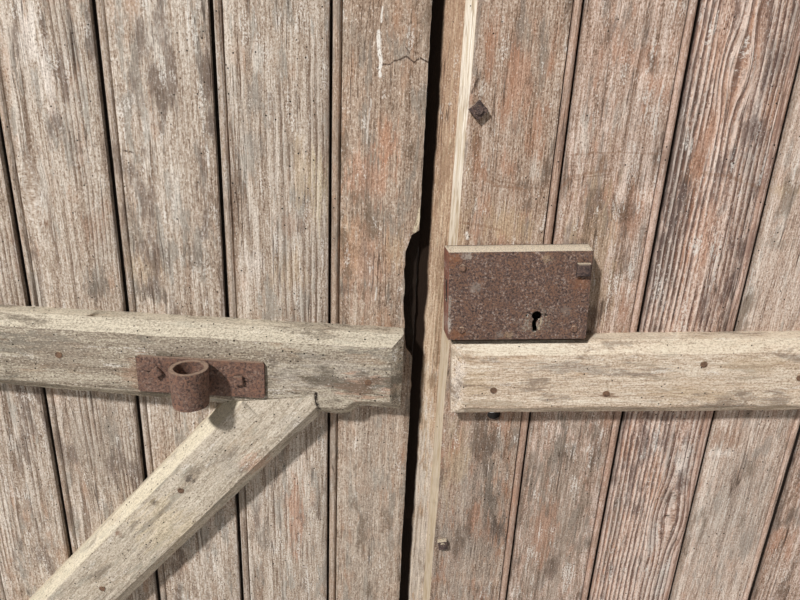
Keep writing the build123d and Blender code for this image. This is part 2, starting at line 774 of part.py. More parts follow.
with BuildPart() as pintle_screws:
    with BuildSketch(face.offset(-frame_back - pintle_plate_thickness)):
        with Locations(*pintle_screw_places("left"), *pintle_screw_places("right")):
            Circle(pintle_screw_head)
    extrude(amount=-pintle_screw_head_height)
    fillet(pintle_screws.edges().group_by(Axis.Y)[-1], radius=pintle_screw_head_round)
    with BuildSketch(face.offset(-frame_back - pintle_plate_thickness)):
        with Locations(*pintle_screw_places("left"), *pintle_screw_places("right")):
            Circle(pintle_screw_radius)
    extrude(amount=pintle_screw_length - nail_end_clearance)
pintle_screws.part.label = "pintle_screws"
export_step(pintle_screws.part, "parts/pintle_screws.step")

# Rim lock: a front plate folded round at its bolt end, a rim round the other three sides, a thin
# cover against the boards, and the warded works between them
lock_section = Plane(
    origin=lock_face.origin,
    x_dir=lock_face.x_dir,
    z_dir=-lock_face.y_dir,
)
half_width = lock_width / 2
inner_depth = lock_depth - lock_sheet


def lock_flare(height):
    """How far the ends of the case stand out past the front plate at this height."""
    return lock_splay * (1 - height / lock_depth)


def case_left(height):
    return -half_width - lock_flare(height) + lock_sheet + lock_fit


def case_right(height):
    return half_width + lock_flare(height)


def keyhole():
    """Keyhole with its round eye on top and its leaning slot below."""
    slant = degrees(atan2(-keyhole_drop, keyhole_lean))
    with Locations((keyhole_x, keyhole_y)):
        Circle(keyhole_radius)
    with Locations((keyhole_x + keyhole_lean / 2, keyhole_y - keyhole_drop / 2)):
        Rectangle(keyhole_drop, keyhole_slot, rotation=slant)


with BuildPart() as lock_plate:
    with BuildSketch(lock_section):
        with BuildLine():
            Polyline(
                (-half_width, lock_depth),
                (half_width, lock_depth),
                (half_width, inner_depth),
                (case_left(inner_depth) - lock_fit, inner_depth),
                (case_left(0) - lock_fit, 0),
                (case_left(0) - lock_fit - lock_sheet, 0),
                close=True,
            )
        make_face()
    extrude(amount=lock_height / 2, both=True)
    with BuildSketch(lock_face.offset(inner_depth)):
        keyhole()
        with Locations((keyhole_x, keyhole_y)):
            with GridLocations(2 * pin_hole_spread, 1, 2, 1):
                Circle(pin_hole_radius)
        with Locations(*post_places):
            Circle(rivet_radius + fastener_clearance)
        with Locations(coach_screw_place):
            Circle(coach_screw_radius + fastener_clearance)
    extrude(amount=lock_sheet, mode=Mode.SUBTRACT)
    with BuildSketch(lock_face.offset(bolt_lift - bolt_fit)):
        with Locations((-half_width, bolt_bar_bottom + bolt_bar_height / 2)):
            Rectangle(4 * lock_splay, bolt_bar_height + 2 * bolt_fit)
    extrude(amount=bolt_head_depth + 2 * bolt_fit, mode=Mode.SUBTRACT)
lock_plate.part.label = "lock_plate"
export_step(lock_plate.part, "parts/lock_plate.step")

with BuildPart() as lock_rim:
    with BuildSketch(lock_section):
        with BuildLine():
            Polyline(
                (case_left(lock_cover_sheet), lock_cover_sheet),
                (case_right(lock_cover_sheet), lock_cover_sheet),
                (case_right(inner_depth), inner_depth),
                (case_left(inner_depth), inner_depth),
                close=True,
            )
        make_face()
    extrude(amount=lock_height / 2, both=True)
    with BuildSketch(lock_section):
        with BuildLine():
            Polyline(
                (case_left(0) - lock_splay, 0),
                (case_right(0) - lock_sheet, 0),
                (case_right(lock_depth) - lock_sheet, lock_depth),
                (case_left(0) - lock_splay, lock_depth),
                close=True,
            )
        make_face()
    extrude(amount=lock_height / 2 - lock_sheet, both=True, mode=Mode.SUBTRACT)
lock_rim.part.label = "lock_rim"
export_step(lock_rim.part, "parts/lock_rim.step")

with BuildPart() as lock_cover:
    with BuildSketch(lock_face):
        cover_left = case_left(0)
        with Locations(((cover_left + case_right(0)) / 2, 0)):
            Rectangle(case_right(0) - cover_left, lock_height)
        with Locations(coach_screw_place):
            Circle(coach_screw_radius + fastener_clearance, mode=Mode.SUBTRACT)
    extrude(amount=lock_cover_sheet)
    with BuildSketch(lock_face):
        keyhole()
    extrude(amount=lock_cover_sheet, mode=Mode.SUBTRACT)
lock_cover.part.label = "lock_cover"
export_step(lock_cover.part, "parts/lock_cover.step")

with BuildPart() as lock_posts:
    with BuildSketch(lock_face.offset(lock_depth)):
        with Locations(*post_places):
            Circle(rivet_head_radius)
    extrude(amount=rivet_head_height)
    fillet(lock_posts.edges().group_by(Axis.Y)[0], radius=rivet_head_round)
    with BuildSketch(lock_face.offset(lock_cover_sheet)):
        with Locations(*post_places):
            Circle(post_radius)
    extrude(amount=inner_depth - lock_cover_sheet)
    with BuildSketch(lock_face.offset(inner_depth)):
        with Locations(*post_places):
            Circle(rivet_radius)
    extrude(amount=lock_sheet)
lock_posts.part.label = "lock_posts"
export_step(lock_posts.part, "parts/lock_posts.step")

bolt_tip = -half_width - lock_splay / 2
bolt_shoulder = bolt_tip + bolt_head_length
bolt_tail_end = bolt_shoulder + bolt_tail_length
bolt_bar_middle = bolt_bar_bottom + bolt_bar_height / 2
guide_x = bolt_tail_end - guide_from_end - bolt_throw
tail_lift = bolt_lift + (bolt_head_depth - bolt_tail_depth) / 2
with BuildPart() as lock_bolt:
    with BuildSketch(lock_face.offset(bolt_lift)):
        with Locations((bolt_tip + bolt_head_length / 2, bolt_bar_middle)):
            Rectangle(bolt_head_length, bolt_bar_height)
    extrude(amount=bolt_head_depth)
    with BuildSketch(lock_face.offset(tail_lift)):
        with Locations((bolt_shoulder + bolt_tail_length / 2, bolt_bar_middle)):
            Rectangle(bolt_tail_length, bolt_bar_height)
        with Locations((guide_x + bolt_throw / 2, bolt_bar_middle)):
            SlotCenterToCenter(bolt_throw, guide_slot_width, mode=Mode.SUBTRACT)
        with Locations((keyhole_x, bolt_bar_bottom)):
            with GridLocations(talon_spacing, 1, 2, 1):
                Circle(talon_radius, mode=Mode.SUBTRACT)
    extrude(amount=bolt_tail_depth)
lock_bolt.part.label = "lock_bolt"
export_step(lock_bolt.part, "parts/lock_bolt.step")

with BuildPart() as lock_guide:
    with BuildSketch(lock_face.offset(lock_cover_sheet)):
        with Locations((guide_x, bolt_bar_middle)):
            Circle(guide_radius)
    extrude(amount=inner_depth - lock_cover_sheet)
lock_guide.part.label = "lock_guide"
export_step(lock_guide.part, "parts/lock_guide.step")

with BuildPart() as lock_wards:
    with BuildSketch(lock_face.offset(inner_depth)):
        with Locations((keyhole_x, keyhole_y)):
            Circle(ward_radius)
            Circle(ward_radius - ward_sheet, mode=Mode.SUBTRACT)
        with Locations((keyhole_x, keyhole_y - ward_radius)):
            Rectangle(ward_opening, ward_radius, mode=Mode.SUBTRACT)
    extrude(amount=-ward_height)
lock_wards.part.label = "lock_wards"
export_step(lock_wards.part, "parts/lock_wards.step")

spring_top = lock_height / 2 - lock_sheet - lock_fit - spring_sheet / 2
spring_low = bolt_bar_bottom + bolt_bar_height + lock_fit + spring_sheet / 2
with BuildPart() as lock_spring:
    with BuildSketch(lock_face.offset(tail_lift + (bolt_tail_depth - spring_width) / 2)):
        with BuildLine():
            Spline(
                (bolt_shoulder - lock_sheet, spring_top),
                (guide_x, (spring_top + 2 * spring_low) / 3),
                (bolt_tail_end - guide_from_end, spring_low),
                tangents=((1, 0), (1, 0)),
            )
        trace(line_width=spring_sheet)
    extrude(amount=spring_width)
lock_spring.part.label = "lock_spring"
export_step(lock_spring.part, "parts/lock_spring.step")

with BuildPart() as coach_screw:
    with BuildSketch(lock_face.offset(lock_depth)):
        with Locations(coach_screw_place):
            Rectangle(coach_head_side, coach_head_side)
    extrude(amount=coach_head_height)
    chamfer(coach_screw.faces().sort_by(Axis.Y)[0].edges(), length=coach_head_chamfer)
    with BuildSketch(lock_face.offset(lock_depth)):
        with Locations(coach_screw_place):
            Circle(coach_screw_radius)
    extrude(amount=-(lock_depth + coach_screw_grip))
coach_screw.part.label = "lock_coach_screw"
export_step(coach_screw.part, "parts/lock_coach_screw.step")
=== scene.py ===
import math

import bpy
from mathutils import Matrix, Vector, noise


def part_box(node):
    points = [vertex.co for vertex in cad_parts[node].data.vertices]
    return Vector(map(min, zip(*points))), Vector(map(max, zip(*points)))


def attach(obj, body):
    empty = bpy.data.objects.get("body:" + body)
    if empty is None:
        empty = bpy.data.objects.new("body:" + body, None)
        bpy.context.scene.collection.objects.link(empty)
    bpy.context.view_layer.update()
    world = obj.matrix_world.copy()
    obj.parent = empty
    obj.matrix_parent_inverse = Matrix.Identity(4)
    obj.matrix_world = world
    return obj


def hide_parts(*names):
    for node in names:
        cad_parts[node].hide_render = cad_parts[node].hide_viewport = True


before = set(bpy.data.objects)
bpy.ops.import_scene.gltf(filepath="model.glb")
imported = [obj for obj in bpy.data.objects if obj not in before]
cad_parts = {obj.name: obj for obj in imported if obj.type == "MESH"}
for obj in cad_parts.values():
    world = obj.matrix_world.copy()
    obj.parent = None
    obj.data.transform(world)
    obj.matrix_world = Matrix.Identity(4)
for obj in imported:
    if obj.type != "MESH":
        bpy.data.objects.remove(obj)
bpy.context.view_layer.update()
bpy.ops.object.select_all(action="DESELECT")

# Camera: held close to the meeting edges at chest height, looking down at the lock and slightly
# turned to the left about its own line of sight.
eye = Vector((-0.0257, -0.569, 1.240))
look_down = math.radians(18.985)
lean = math.radians(2.658)
film_width, focal_length = 36, 27.05
nearest_sight = 0.01
bpy.ops.object.camera_add(location=eye)
camera = bpy.context.object
aim = Matrix.Rotation(math.pi / 2 - look_down, 4, "X") @ Matrix.Rotation(lean, 4, "Z")
camera.rotation_euler = aim.to_euler()
camera.data.sensor_width = film_width
camera.data.lens = focal_length
camera.data.clip_start = nearest_sight
bpy.context.scene.camera = camera
bpy.context.scene.view_settings.view_transform = "Standard"

# Lamps: a studio key from the upper left, which throws the shadows of the ledges down to the
# right, a weak fill from the right and a wide soft lamp for the side that faces the yard.
aimed_at = Vector((0, 0, 1.0))
for spot, size, energy in (
    (Vector((-2.74, -3.91, 5.10)), 0.45, 500),
    (Vector((3.2, -2.6, 1.9)), 3.0, 6),
    (Vector((0.8, 3.6, 3.2)), 3.0, 130),
):
    bpy.ops.object.light_add(type="AREA", location=spot)
    lamp = bpy.context.object
    lamp.data.shape = "DISK"
    lamp.data.size = size
    lamp.data.energy = energy
    lamp.rotation_euler = (aimed_at - spot).to_track_quat("-Z", "Y").to_euler()
bpy.ops.object.select_all(action="DESELECT")


# Room: a dim, faintly blue light comes evenly from all round, while the camera and reflections see
# a plain white studio. Its sums, as those of every finish, are written as plain arithmetic.
class Value:
    """One value in a material: arithmetic on it adds Math nodes, and node() adds any other node."""

    def __init__(self, tree, socket=None):
        self.tree = tree
        self.socket = socket

    def node(self, kind, settings, inputs, output=0):
        made = self.tree.nodes.new("ShaderNode" + kind)
        for name, setting in settings.items():
            if name == "stops":
                stops = made.color_ramp.elements
                stops[0].position, stops[0].color = setting[0]
                stops[1].position, stops[1].color = setting[-1]
                for place, colour in setting[1:-1]:
                    stops.new(place).color = colour
            else:
                setattr(made, name, setting)
        for name, value in inputs.items():
            if isinstance(value, Value):
                self.tree.links.new(value.socket, made.inputs[name])
            else:
                made.inputs[name].default_value = value
        return Value(self.tree, made.outputs[output])

    def math(self, operation, *others):
        return self.node("Math", {"operation": operation}, dict(enumerate((self,) + others)))

    def __add__(self, other):
        return self.math("ADD", other)

    def __sub__(self, other):
        return self.math("SUBTRACT", other)

    def __rsub__(self, other):
        return self.node("Math", {"operation": "SUBTRACT"}, {0: other, 1: self})

    def __mul__(self, other):
        return self.math("MULTIPLY", other)

    def __truediv__(self, other):
        return self.math("DIVIDE", other)

    __radd__ = __add__
    __rmul__ = __mul__

    def rise(self, low, high):
        """0 below low, 1 above high and smooth between; falls where low is above high."""
        return self.node("MapRange", {"interpolation_type": "SMOOTHSTEP"},
                         {"Value": self, "From Min": low, "From Max": high})

    def over(self, under, colour):
        """This mask lays a colour over the one under it, by the colour sockets of a Mix node."""
        below, above, mixed = 6, 7, 2
        return self.node("Mix", {"data_type": "RGBA"}, {0: self, below: under, above: colour},
                         mixed)


room_tone, room_strength = (0.86, 0.90, 1.0, 1), 0.07
studio_white = (0.94, 0.94, 0.93, 1)
world = bpy.data.worlds.new("studio")
bpy.context.scene.world = world
world.use_nodes = True
world.node_tree.nodes.clear()
ray = Value(world.node_tree)
seen = ray.node("LightPath", {}, {}, "Is Camera Ray")
for kind in ("Is Glossy Ray", "Is Transmission Ray"):
    seen = seen.math("MAXIMUM", ray.node("LightPath", {}, {}, kind))
room = ray.node("Background", {}, {"Color": room_tone, "Strength": room_strength})
backdrop = ray.node("Background", {}, {"Color": studio_white, "Strength": 1.0})
shown = ray.node("MixShader", {}, {0: seen, 1: room, 2: backdrop})
ending = world.node_tree.nodes.new("ShaderNodeOutputWorld")
world.node_tree.links.new(shown.socket, ending.inputs["Surface"])

# Floor: plain, pale and matt, level with the foot of the frame, and wide enough for every shadow
# of the door with its leaves open.
floor_width = 14
floor_tone, floor_roughness = (0.62, 0.61, 0.59, 1), 0.9
bpy.ops.mesh.primitive_plane_add(size=floor_width)
floor = bpy.context.object
floor.name = "floor"
pale_floor = bpy.data.materials.new("pale_floor")
pale_floor.use_nodes = True
plain = pale_floor.node_tree.nodes["Principled BSDF"]
plain.inputs["Base Color"].default_value = floor_tone
plain.inputs["Roughness"].default_value = floor_roughness
floor.data.materials.append(pale_floor)
floor.select_set(False)


# Boards: matched softwood boards with a bead along one edge, nailed upright from the inside. Their
# reddish stain is worn off the high grain; the joints are dirty and painted near black as shade.
millimetre = 0.001
per_metre = 1000


def tint(code):
    """Linear colour of a colour written as six hexadecimal digits."""
    shares = [int(code[place:place + 2], 16) / 255 for place in (0, 2, 4)]
    return tuple(share / 12.92 if share < 0.04045 else ((share + 0.055) / 1.055) ** 2.4
                 for share in shares) + (1,)


def own_place(value):
    """The place on the object itself, in metres."""
    return value.node("TexCoord", {}, {}, "Object")


def start_finish(name, centre=(0, 0, 0), turn=(0, 0, 0)):
    """A new material, its shader and the object's place in millimetres about a centre."""
    finish = bpy.data.materials.new(name)
    finish.use_nodes = True
    place = own_place(Value(finish.node_tree))
    place = place.node("Mapping", {"vector_type": "TEXTURE"},
                       {"Vector": place, "Location": centre, "Rotation": turn,
                        "Scale": (millimetre, millimetre, millimetre)})
    return finish, finish.node_tree.nodes["Principled BSDF"], place


def end_finish(shader, colour, height, depth, roughness, shine):
    """Joins the colour and a relief of about a millimetre to the shader."""
    bump = height.node("Bump", {}, {"Strength": depth, "Distance": millimetre, "Height": height})
    colour.tree.links.new(colour.socket, shader.inputs["Base Color"])
    colour.tree.links.new(bump.socket, shader.inputs["Normal"])
    shader.inputs["Roughness"].default_value = roughness
    shader.inputs["Specular IOR Level"].default_value = shine


def axis_of(vector, axis):
    """One of the three numbers of a vector."""
    return vector.node("SeparateXYZ", {}, {0: vector}, axis)


def spot_of(value):
    """The place on the object itself in millimetres, across and up."""
    return tuple(axis_of(own_place(value), axis) * per_metre for axis in (0, 2))


def span(across, up):
    """Length of a step across and up."""
    return (across * across + up * up).math("SQRT")


def facing(value, axis):
    """How far the surface faces along one of the object's axes."""
    return axis_of(value.node("TexCoord", {}, {}, "Normal"), axis)


def inside(value):
    """1 on the face that looks into the cellar, 0 on the face that looks into the yard."""
    return facing(value, 1).rise(0.5, 0.2)


def cloud(place, width, length, seed, detail=2.0, rough=0.5):
    """Noise from 0 to 1 whose patches are this wide across the grain and this long along it."""
    scaled = place.node("VectorMath", {"operation": "MULTIPLY_ADD"},
                        {0: place, 1: (1 / width, 1 / width, 1 / length),
                         2: (seed * 7.13, seed * 3.71, seed * 5.37)})
    return place.node("TexNoise", {}, {"Vector": scaled, "Scale": 1.0, "Detail": detail,
                                       "Roughness": rough})


def swaying_grain(place, side, along, seed, knots):
    """How far the grain is pushed aside where it sways along a board and bows round its knots."""
    sway = (cloud(place, 70, 210, seed + 0.3) - 0.5) * 8
    for knot_side, knot_along, size in knots:
        off = span((side - knot_side) / size, (along - knot_along) / (size * 2.2))
        sway = sway - (side - knot_side) * off.rise(2.6, 0.3) * 0.75
    return sway


def year_rings(aside, behind, streak, ring):
    """Hollows and crests of the year rings, which lie about the heart of the log."""
    rings = span(aside, behind) / ring + (streak - 0.5) * 1.1
    rings = rings.math("FRACT")
    hollow = rings.rise(0.5, 0.9) * rings.rise(1.0, 0.92)
    crest = rings.rise(0.0, 0.12) * rings.rise(0.5, 0.2)
    return hollow, crest


def stained(colour, place, seed, light, stains):
    """Single stains with frayed edges, through which the grain still shows."""
    x, z = spot_of(place)
    frayed = (cloud(place, 4, 24, seed + 14, 3.0, 0.65) - 0.5) * 5.0
    for stain_x, stain_z, wide, high, kind, share in stains:
        reach = span(x / wide - stain_x / wide, z / high - stain_z / high) + frayed
        lit = place.node("VectorMath", {"operation": "SCALE"},
                         {0: tint(stain_tones[kind])[:3], "Scale": light})
        colour = (reach.rise(1.45, 0.45) * share).over(colour, lit)
    return colour


def beaded(colour, straight, bead, streak, black):
    """The bead that runs along one edge of a board, between two quirks painted dark as shade."""
    at_bead, bead_code, bead_share = bead
    off = (straight - at_bead).math("ABSOLUTE")
    colour = (off.rise(4.4, 3.6) * bead_share).over(colour, tint(bead_code))
    # Painted shade: the two quirks beside the bead are darkened.
    quirk = off.rise(4.3, 4.8) * off.rise(5.5, 4.9)
    return (quirk * (0.75 - streak * 0.5)).over(colour, black)


def worm_holes(place, seed, worms):
    """Worm holes, which come in swarms."""
    hole = {"Vector": place, "Scale": 0.14, "Randomness": 1.0}
    reach = place.node("TexVoronoi", {}, hole)
    lot = place.node("SeparateColor", {}, {0: place.node("TexVoronoi", {}, hole, "Color")})
    swarm = cloud(place, 60, 90, seed + 13) * 0.7 + lot * 0.5
    holes = (reach + (lot - 0.5) * 0.05).rise(0.15, 0.11)
    return holes * swarm.rise(0.84 - worms * 0.5, 0.86 - worms * 0.5)


def old_wood(name, seed, centre, tones, turn=0.0, heart=(0, 30), ring=4.2, ridged=0.3, stain=0.3,
             chalk=0.3, dirt=0.4, grey=0.3, worms=0.3, coarse=0.0, contrast=1.0, knots=(),
             bead=None, joints=None, shaded_depth=None, shade_from_x=None, fresh=None, stains=(), marks=()):
    """Old softwood with its grain along Z, or turned about Y, in tones from dark to pale."""
    finish, shader, place = start_finish(name, centre, (0, turn, 0))
    straight, depth, along = (axis_of(place, axis) for axis in range(3))
    sway = swaying_grain(place, straight, along, seed, knots)
    bent = place.node("CombineXYZ", {}, {0: sway, 1: 0.0, 2: 0.0})
    place = place.node("VectorMath", {"operation": "ADD"}, {0: place, 1: bent})
    broad = cloud(place, 8, 220, seed, 3.0, 0.6)
    streak = cloud(place, 1.7, 55, seed + 1, 4.0, 0.65)
    fine = cloud(place, 1.0, 9, seed + 2, 2.0, 0.6)
    speck = cloud(place, 1.5, 2.2, seed + 3, 3.0, 0.75)

    # Along the ridged patches the soft wood between the year rings has weathered away.
    behind = depth + heart[1] + along * 0.015 + (cloud(place, 34, 210, seed + 5) - 0.5) * 8
    hollow, crest = year_rings(straight + sway - heart[0], behind, streak, ring)
    ridges = cloud(place, 26, 150, seed + 6, 2.0).rise(0.62 - 0.3 * ridged, 0.72 - 0.3 * ridged)

    # The wood's own tones, then the grey that weather and the red that old stain have left.
    dark, middle, pale, red, cold, black = (tint(code) for code in tones)
    tone = broad * 0.2 + streak * (0.26 * (1.0 - coarse)) + fine * 0.22 + speck * 0.32
    granular = 0.5
    if coarse:
        granular = cloud(place, 2.0, 3.4, seed + 4, 4.0, 0.72)
        tone = tone + granular * (0.26 * coarse)
    even, spread = 0.485, 0.095 / contrast
    stops = ((even - spread, dark), (even, middle), (even + spread, pale))
    colour = tone.node("ValToRGB", {"stops": stops}, {0: tone})
    dusk = cloud(place, 13, 60, seed + 7, 4.0, 0.62)
    colour = (dusk.rise(0.60 - 0.14 * grey, 0.68 - 0.14 * grey) * 0.6).over(colour, cold)
    glow = cloud(place, 15, 52, seed + 8, 4.0, 0.62) * 0.75 + streak * 0.25
    glow = glow.rise(0.57 - 0.11 * stain, 0.69 - 0.11 * stain)
    colour = (glow * (0.3 + 0.35 * stain)).over(colour, red)
    if stains:
        light = tone.rise(even - 1.8 * spread, even + 1.8 * spread) * 0.9 + 0.55
        colour = stained(colour, place, seed, light, stains)

    # Dark hollows and pale crests of the rings, dirt, lime, and dark and pale crumbs.
    colour = (hollow * ridges * (0.4 + 0.45 * ridged)).over(colour, dark)
    colour = (crest * ridges * (0.2 + 0.4 * ridged)).over(colour, pale)
    soil = cloud(place, 24, 75, seed + 9, 5.0, 0.66)
    colour = (soil.rise(0.60 - 0.13 * dirt, 0.70 - 0.13 * dirt) * 0.65).over(colour, black)
    lime = cloud(place, 12, 44, seed + 10, 4.0, 0.66).rise(0.61 - 0.13 * chalk, 0.69 - 0.13 * chalk)
    lime = lime * (streak * 0.4 + speck * 0.6).rise(0.47, 0.57)
    colour = (lime * 0.8).over(colour, tint("e0d8ce"))
    colour = (speck.rise(0.42, 0.31) * 0.7).over(colour, dark)
    colour = (speck.rise(0.60, 0.70) * 0.7).over(colour, tint("e4dacf"))

    # Dirt along the joints of a board, its bead, and drying checks along the grain.
    if joints is not None:
        by_joint = (straight.math("ABSOLUTE").rise(joints - 14, joints) * soil).rise(0.3, 0.6)
        colour = (by_joint * 0.45).over(colour, black)
    if bead is not None:
        colour = beaded(colour, straight, bead, streak, black)
    thread = (cloud(place, 7, 240, seed + 11) - 0.5).math("ABSOLUTE").rise(0.014, 0.003)
    check = thread * cloud(place, 22, 90, seed + 12, 4.0).rise(0.5, 0.6) * (1.0 - coarse)
    colour = (check * 0.7).over(colour, tint("3a2a20"))

    # Bare wood or dust on the faces that look one way, then marks, holes and painted joint shade.
    if fresh is not None:
        axis, low, high, code, share = fresh
        bare = facing(place, axis).rise(low, high) * (speck.rise(0.38, 0.56) * 0.6 + 0.4)
        bare = bare * (share - soil.rise(0.48, 0.62) * (share * 0.7))
        colour = bare.over(colour, tint(code))
    for mark in marks:
        colour = mark(place, colour)
    colour = (worm_holes(place, seed, worms) * 0.95).over(colour, tint("1e140d"))
    # Painted shade, with dirt: near black on faces deeper than a few millimetres behind the front.
    if shaded_depth is not None:
        painted_shade = depth.rise(shaded_depth, shaded_depth + 2.0) * facing(place, 1).rise(0.7, 0.4) * 0.97
        if shade_from_x is not None:
            painted_shade = painted_shade * straight.rise(shade_from_x, shade_from_x + 1.5)
        colour = painted_shade.over(colour, tint("1a110b"))

    height = (crest - hollow) * ridges * (0.5 * ridged) + (streak - 0.5) * (1.1 * (1.0 - coarse))
    height = height + (fine - 0.5) * 0.6 + (speck - 0.5) * 0.6 + (granular - 0.5) * (1.4 * coarse)
    end_finish(shader, colour, height, depth=0.9, roughness=0.9, shine=0.15)
    return finish


upright, crosswise = (0, 0, 1), (1, 0, 0)
sharp_arris, rounded_arris = math.radians(25), math.radians(28)
smooth_below = math.radians(40)
nearly_flat = 0.02


def slice_along(piece, along, step, cuts, close, merge):
    """Slices a piece along its length, finer between two levels, and selects its sharp edges."""
    spans = [along @ vertex.co for vertex in piece.data.vertices]
    bpy.ops.object.mode_set(mode="EDIT")
    bpy.ops.mesh.select_all(action="SELECT")
    bpy.ops.mesh.remove_doubles(threshold=merge)
    bpy.ops.mesh.dissolve_limited(angle_limit=nearly_flat)
    low, high, finer = close
    place = min(spans) + step
    while place < max(spans):
        bpy.ops.mesh.select_all(action="SELECT")
        bpy.ops.mesh.bisect(plane_co=along * place, plane_no=along)
        place += step * finer if low < place < high else step
    for point, normal in cuts:
        bpy.ops.mesh.select_all(action="SELECT")
        bpy.ops.mesh.bisect(plane_co=point, plane_no=normal)
    bpy.ops.mesh.select_all(action="DESELECT")
    bpy.ops.mesh.select_mode(type="EDGE")
    bpy.ops.mesh.edges_select_sharp(sharpness=sharp_arris)
    bpy.ops.object.mode_set(mode="OBJECT")


def wear_arrises(piece, rounding, wear, grit, bite):
    """Rounds the edges of a piece and nicks its arrises."""
    bevel = piece.modifiers.new("rounding", "BEVEL")
    bevel.width = rounding
    bevel.segments = 2
    bevel.limit_method = "ANGLE"
    bevel.angle_limit = rounded_arris
    bevel.use_clamp_overlap = True
    clouds = bpy.data.textures.new(f"wear_of_{piece.name}", "CLOUDS")
    clouds.noise_scale = grit
    clouds.noise_depth = 3
    nick = piece.modifiers.new("wear", "DISPLACE")
    nick.texture = clouds
    nick.vertex_group = "arris"
    nick.strength = wear
    nick.mid_level = bite
    for modifier in ("rounding", "wear"):
        bpy.ops.object.modifier_apply(modifier=modifier)


def worn_copy(node, body, finish, along, step, cuts=(), rounding=0.0008, wear=0.0007,
              grit=0.012, bite=0.5, merge=0.000002, close=(0.0, 0.0, 1.0), shape=None):
    """Copy of a made piece with rounded and nicked arrises, sliced along it to carry them."""
    piece = bpy.data.objects.new(f"worn_{node}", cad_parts[node].data.copy())
    bpy.context.scene.collection.objects.link(piece)
    bpy.context.view_layer.objects.active = piece
    piece.select_set(True)
    slice_along(piece, Vector(along).normalized(), step, cuts, close, merge)
    arris = piece.vertex_groups.new(name="arris")
    arris.add([vertex.index for vertex in piece.data.vertices if vertex.select], 1.0, "REPLACE")
    if shape is not None:
        for vertex in piece.data.vertices:
            vertex.co = shape(vertex.co)
    wear_arrises(piece, rounding, wear, grit, bite)
    piece.vertex_groups.clear()
    bpy.ops.object.shade_smooth_by_angle(angle=smooth_below)
    piece.data.materials.clear()
    piece.data.materials.append(finish)
    piece.select_set(False)
    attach(piece, body)
    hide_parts(node)


def drawn_line(points, thickness, code, share):
    """A broken mark along a line through places given as across and up, in metres."""
    def lay(spot, colour):
        place = own_place(spot)
        wobble = cloud(place, 0.01, 0.01, 5.5, 3.0) * 0.004 - 0.002
        whole = cloud(place, 0.0014, 0.004, 6.5, 3.0, 0.7).rise(0.36, 0.47)
        x = axis_of(place, 0) + wobble
        z = axis_of(place, 2) - wobble
        nearest = None
        for (x0, z0), (x1, z1) in zip(points, points[1:]):
            length = math.hypot(x1 - x0, z1 - z0)
            run, rise = (x1 - x0) / length, (z1 - z0) / length
            gone = ((x - x0) * run + (z - z0) * rise).math("MAXIMUM", 0.0).math("MINIMUM", length)
            off = span(x - x0 - gone * run, z - z0 - gone * rise)
            nearest = off if nearest is None else nearest.math("MINIMUM", off)
        drawn = nearest.rise(thickness, thickness * 0.3) * inside(spot)
        return (drawn * whole * share).over(colour, tint(code))
    return lay


def crusted(level, slope):
    """Pale crust that rain has left on the boards along the top of a ledge, whose line falls so."""
    def lay(spot, colour):
        place = own_place(spot)
        z = axis_of(place, 2) - level - axis_of(place, 0) * slope
        crumbs = cloud(place, 0.004, 0.007, 17.0, 4.0, 0.7)
        reach = z + (cloud(place, 0.03, 0.03, 18.0, 3.0) - 0.5) * 0.03
        band = reach.rise(0.011, 0.002) * z.rise(-0.004, 0.001) * inside(spot)
        return (band * crumbs.rise(0.44, 0.58) * 0.75).over(colour, tint("d6cfc6"))
    return lay


def planed_bevel(spot, colour):
    """The bevel along the meeting edge is cut into sound pale wood, greyer towards its foot."""
    pale_above, grey_below, bevel_end = 1.25, 1.0, 0.034
    place = own_place(spot)
    grain = cloud(place, 0.0012, 0.05, 19.0, 3.0, 0.6)
    worn = cloud(place, 0.006, 0.04, 20.0, 3.0, 0.65)
    bare = grain.rise(0.35, 0.62).over(tint("ceba9e"), tint("f4eadb"))
    bare = worn.rise(0.50, 0.66).over(bare, tint("b39d82"))
    bare = (axis_of(place, 2).rise(pale_above, grey_below) * 0.7).over(bare, tint("b5a084"))
    cut = facing(spot, 0).rise(-0.2, -0.4) * axis_of(place, 0).rise(bevel_end + 0.002, bevel_end)
    return cut.over(colour, bare)


torn_seed = 12
noise.seed_set(torn_seed)


def frayed_edge(place):
    """The free edge of the left leaf, frayed and chipped where hands and the bar have caught it."""
    outer_face, bevel_depth, edge, torn_edge = 0.0295, 0.016, -0.0100, -0.0245
    torn_from, torn_to = 0.97, 1.125
    if place.y > outer_face:
        return place
    if place.x > edge and place.y < bevel_depth:
        chips = noise.noise(Vector((0, 0, place.z * 110))) * 0.0010
        wear = noise.noise(Vector((3.7, 0, place.z * 14))) * 0.0008
        return place - Vector((max(0.0, min(0.0025, 0.0005 + chips + wear)), 0, 0))
    if place.x > torn_edge and torn_from < place.z < torn_to:
        ragged = noise.noise_vector(Vector((place.x * 60, place.y * 60, place.z * 130))) * 0.0016
        return place + Vector((min(0.0009, ragged.x), 0, ragged.z * 0.5))
    return place


def planed_edge(place):
    """The first right board's edge is bevelled by hand: wider above the lock, narrower below."""
    arris, bevel_depth, lock_top = 0.030, 0.0165, 1.13
    if place.x > arris or place.y > bevel_depth:
        return place
    wider = min(1.0, max(0.0, (place.z - lock_top) / 0.12)) * 0.0018
    wander = noise.noise(Vector((1.3, 0, place.z * 11))) * 0.0012
    return place + Vector((wider - 0.0006 + wander, 0, 0))


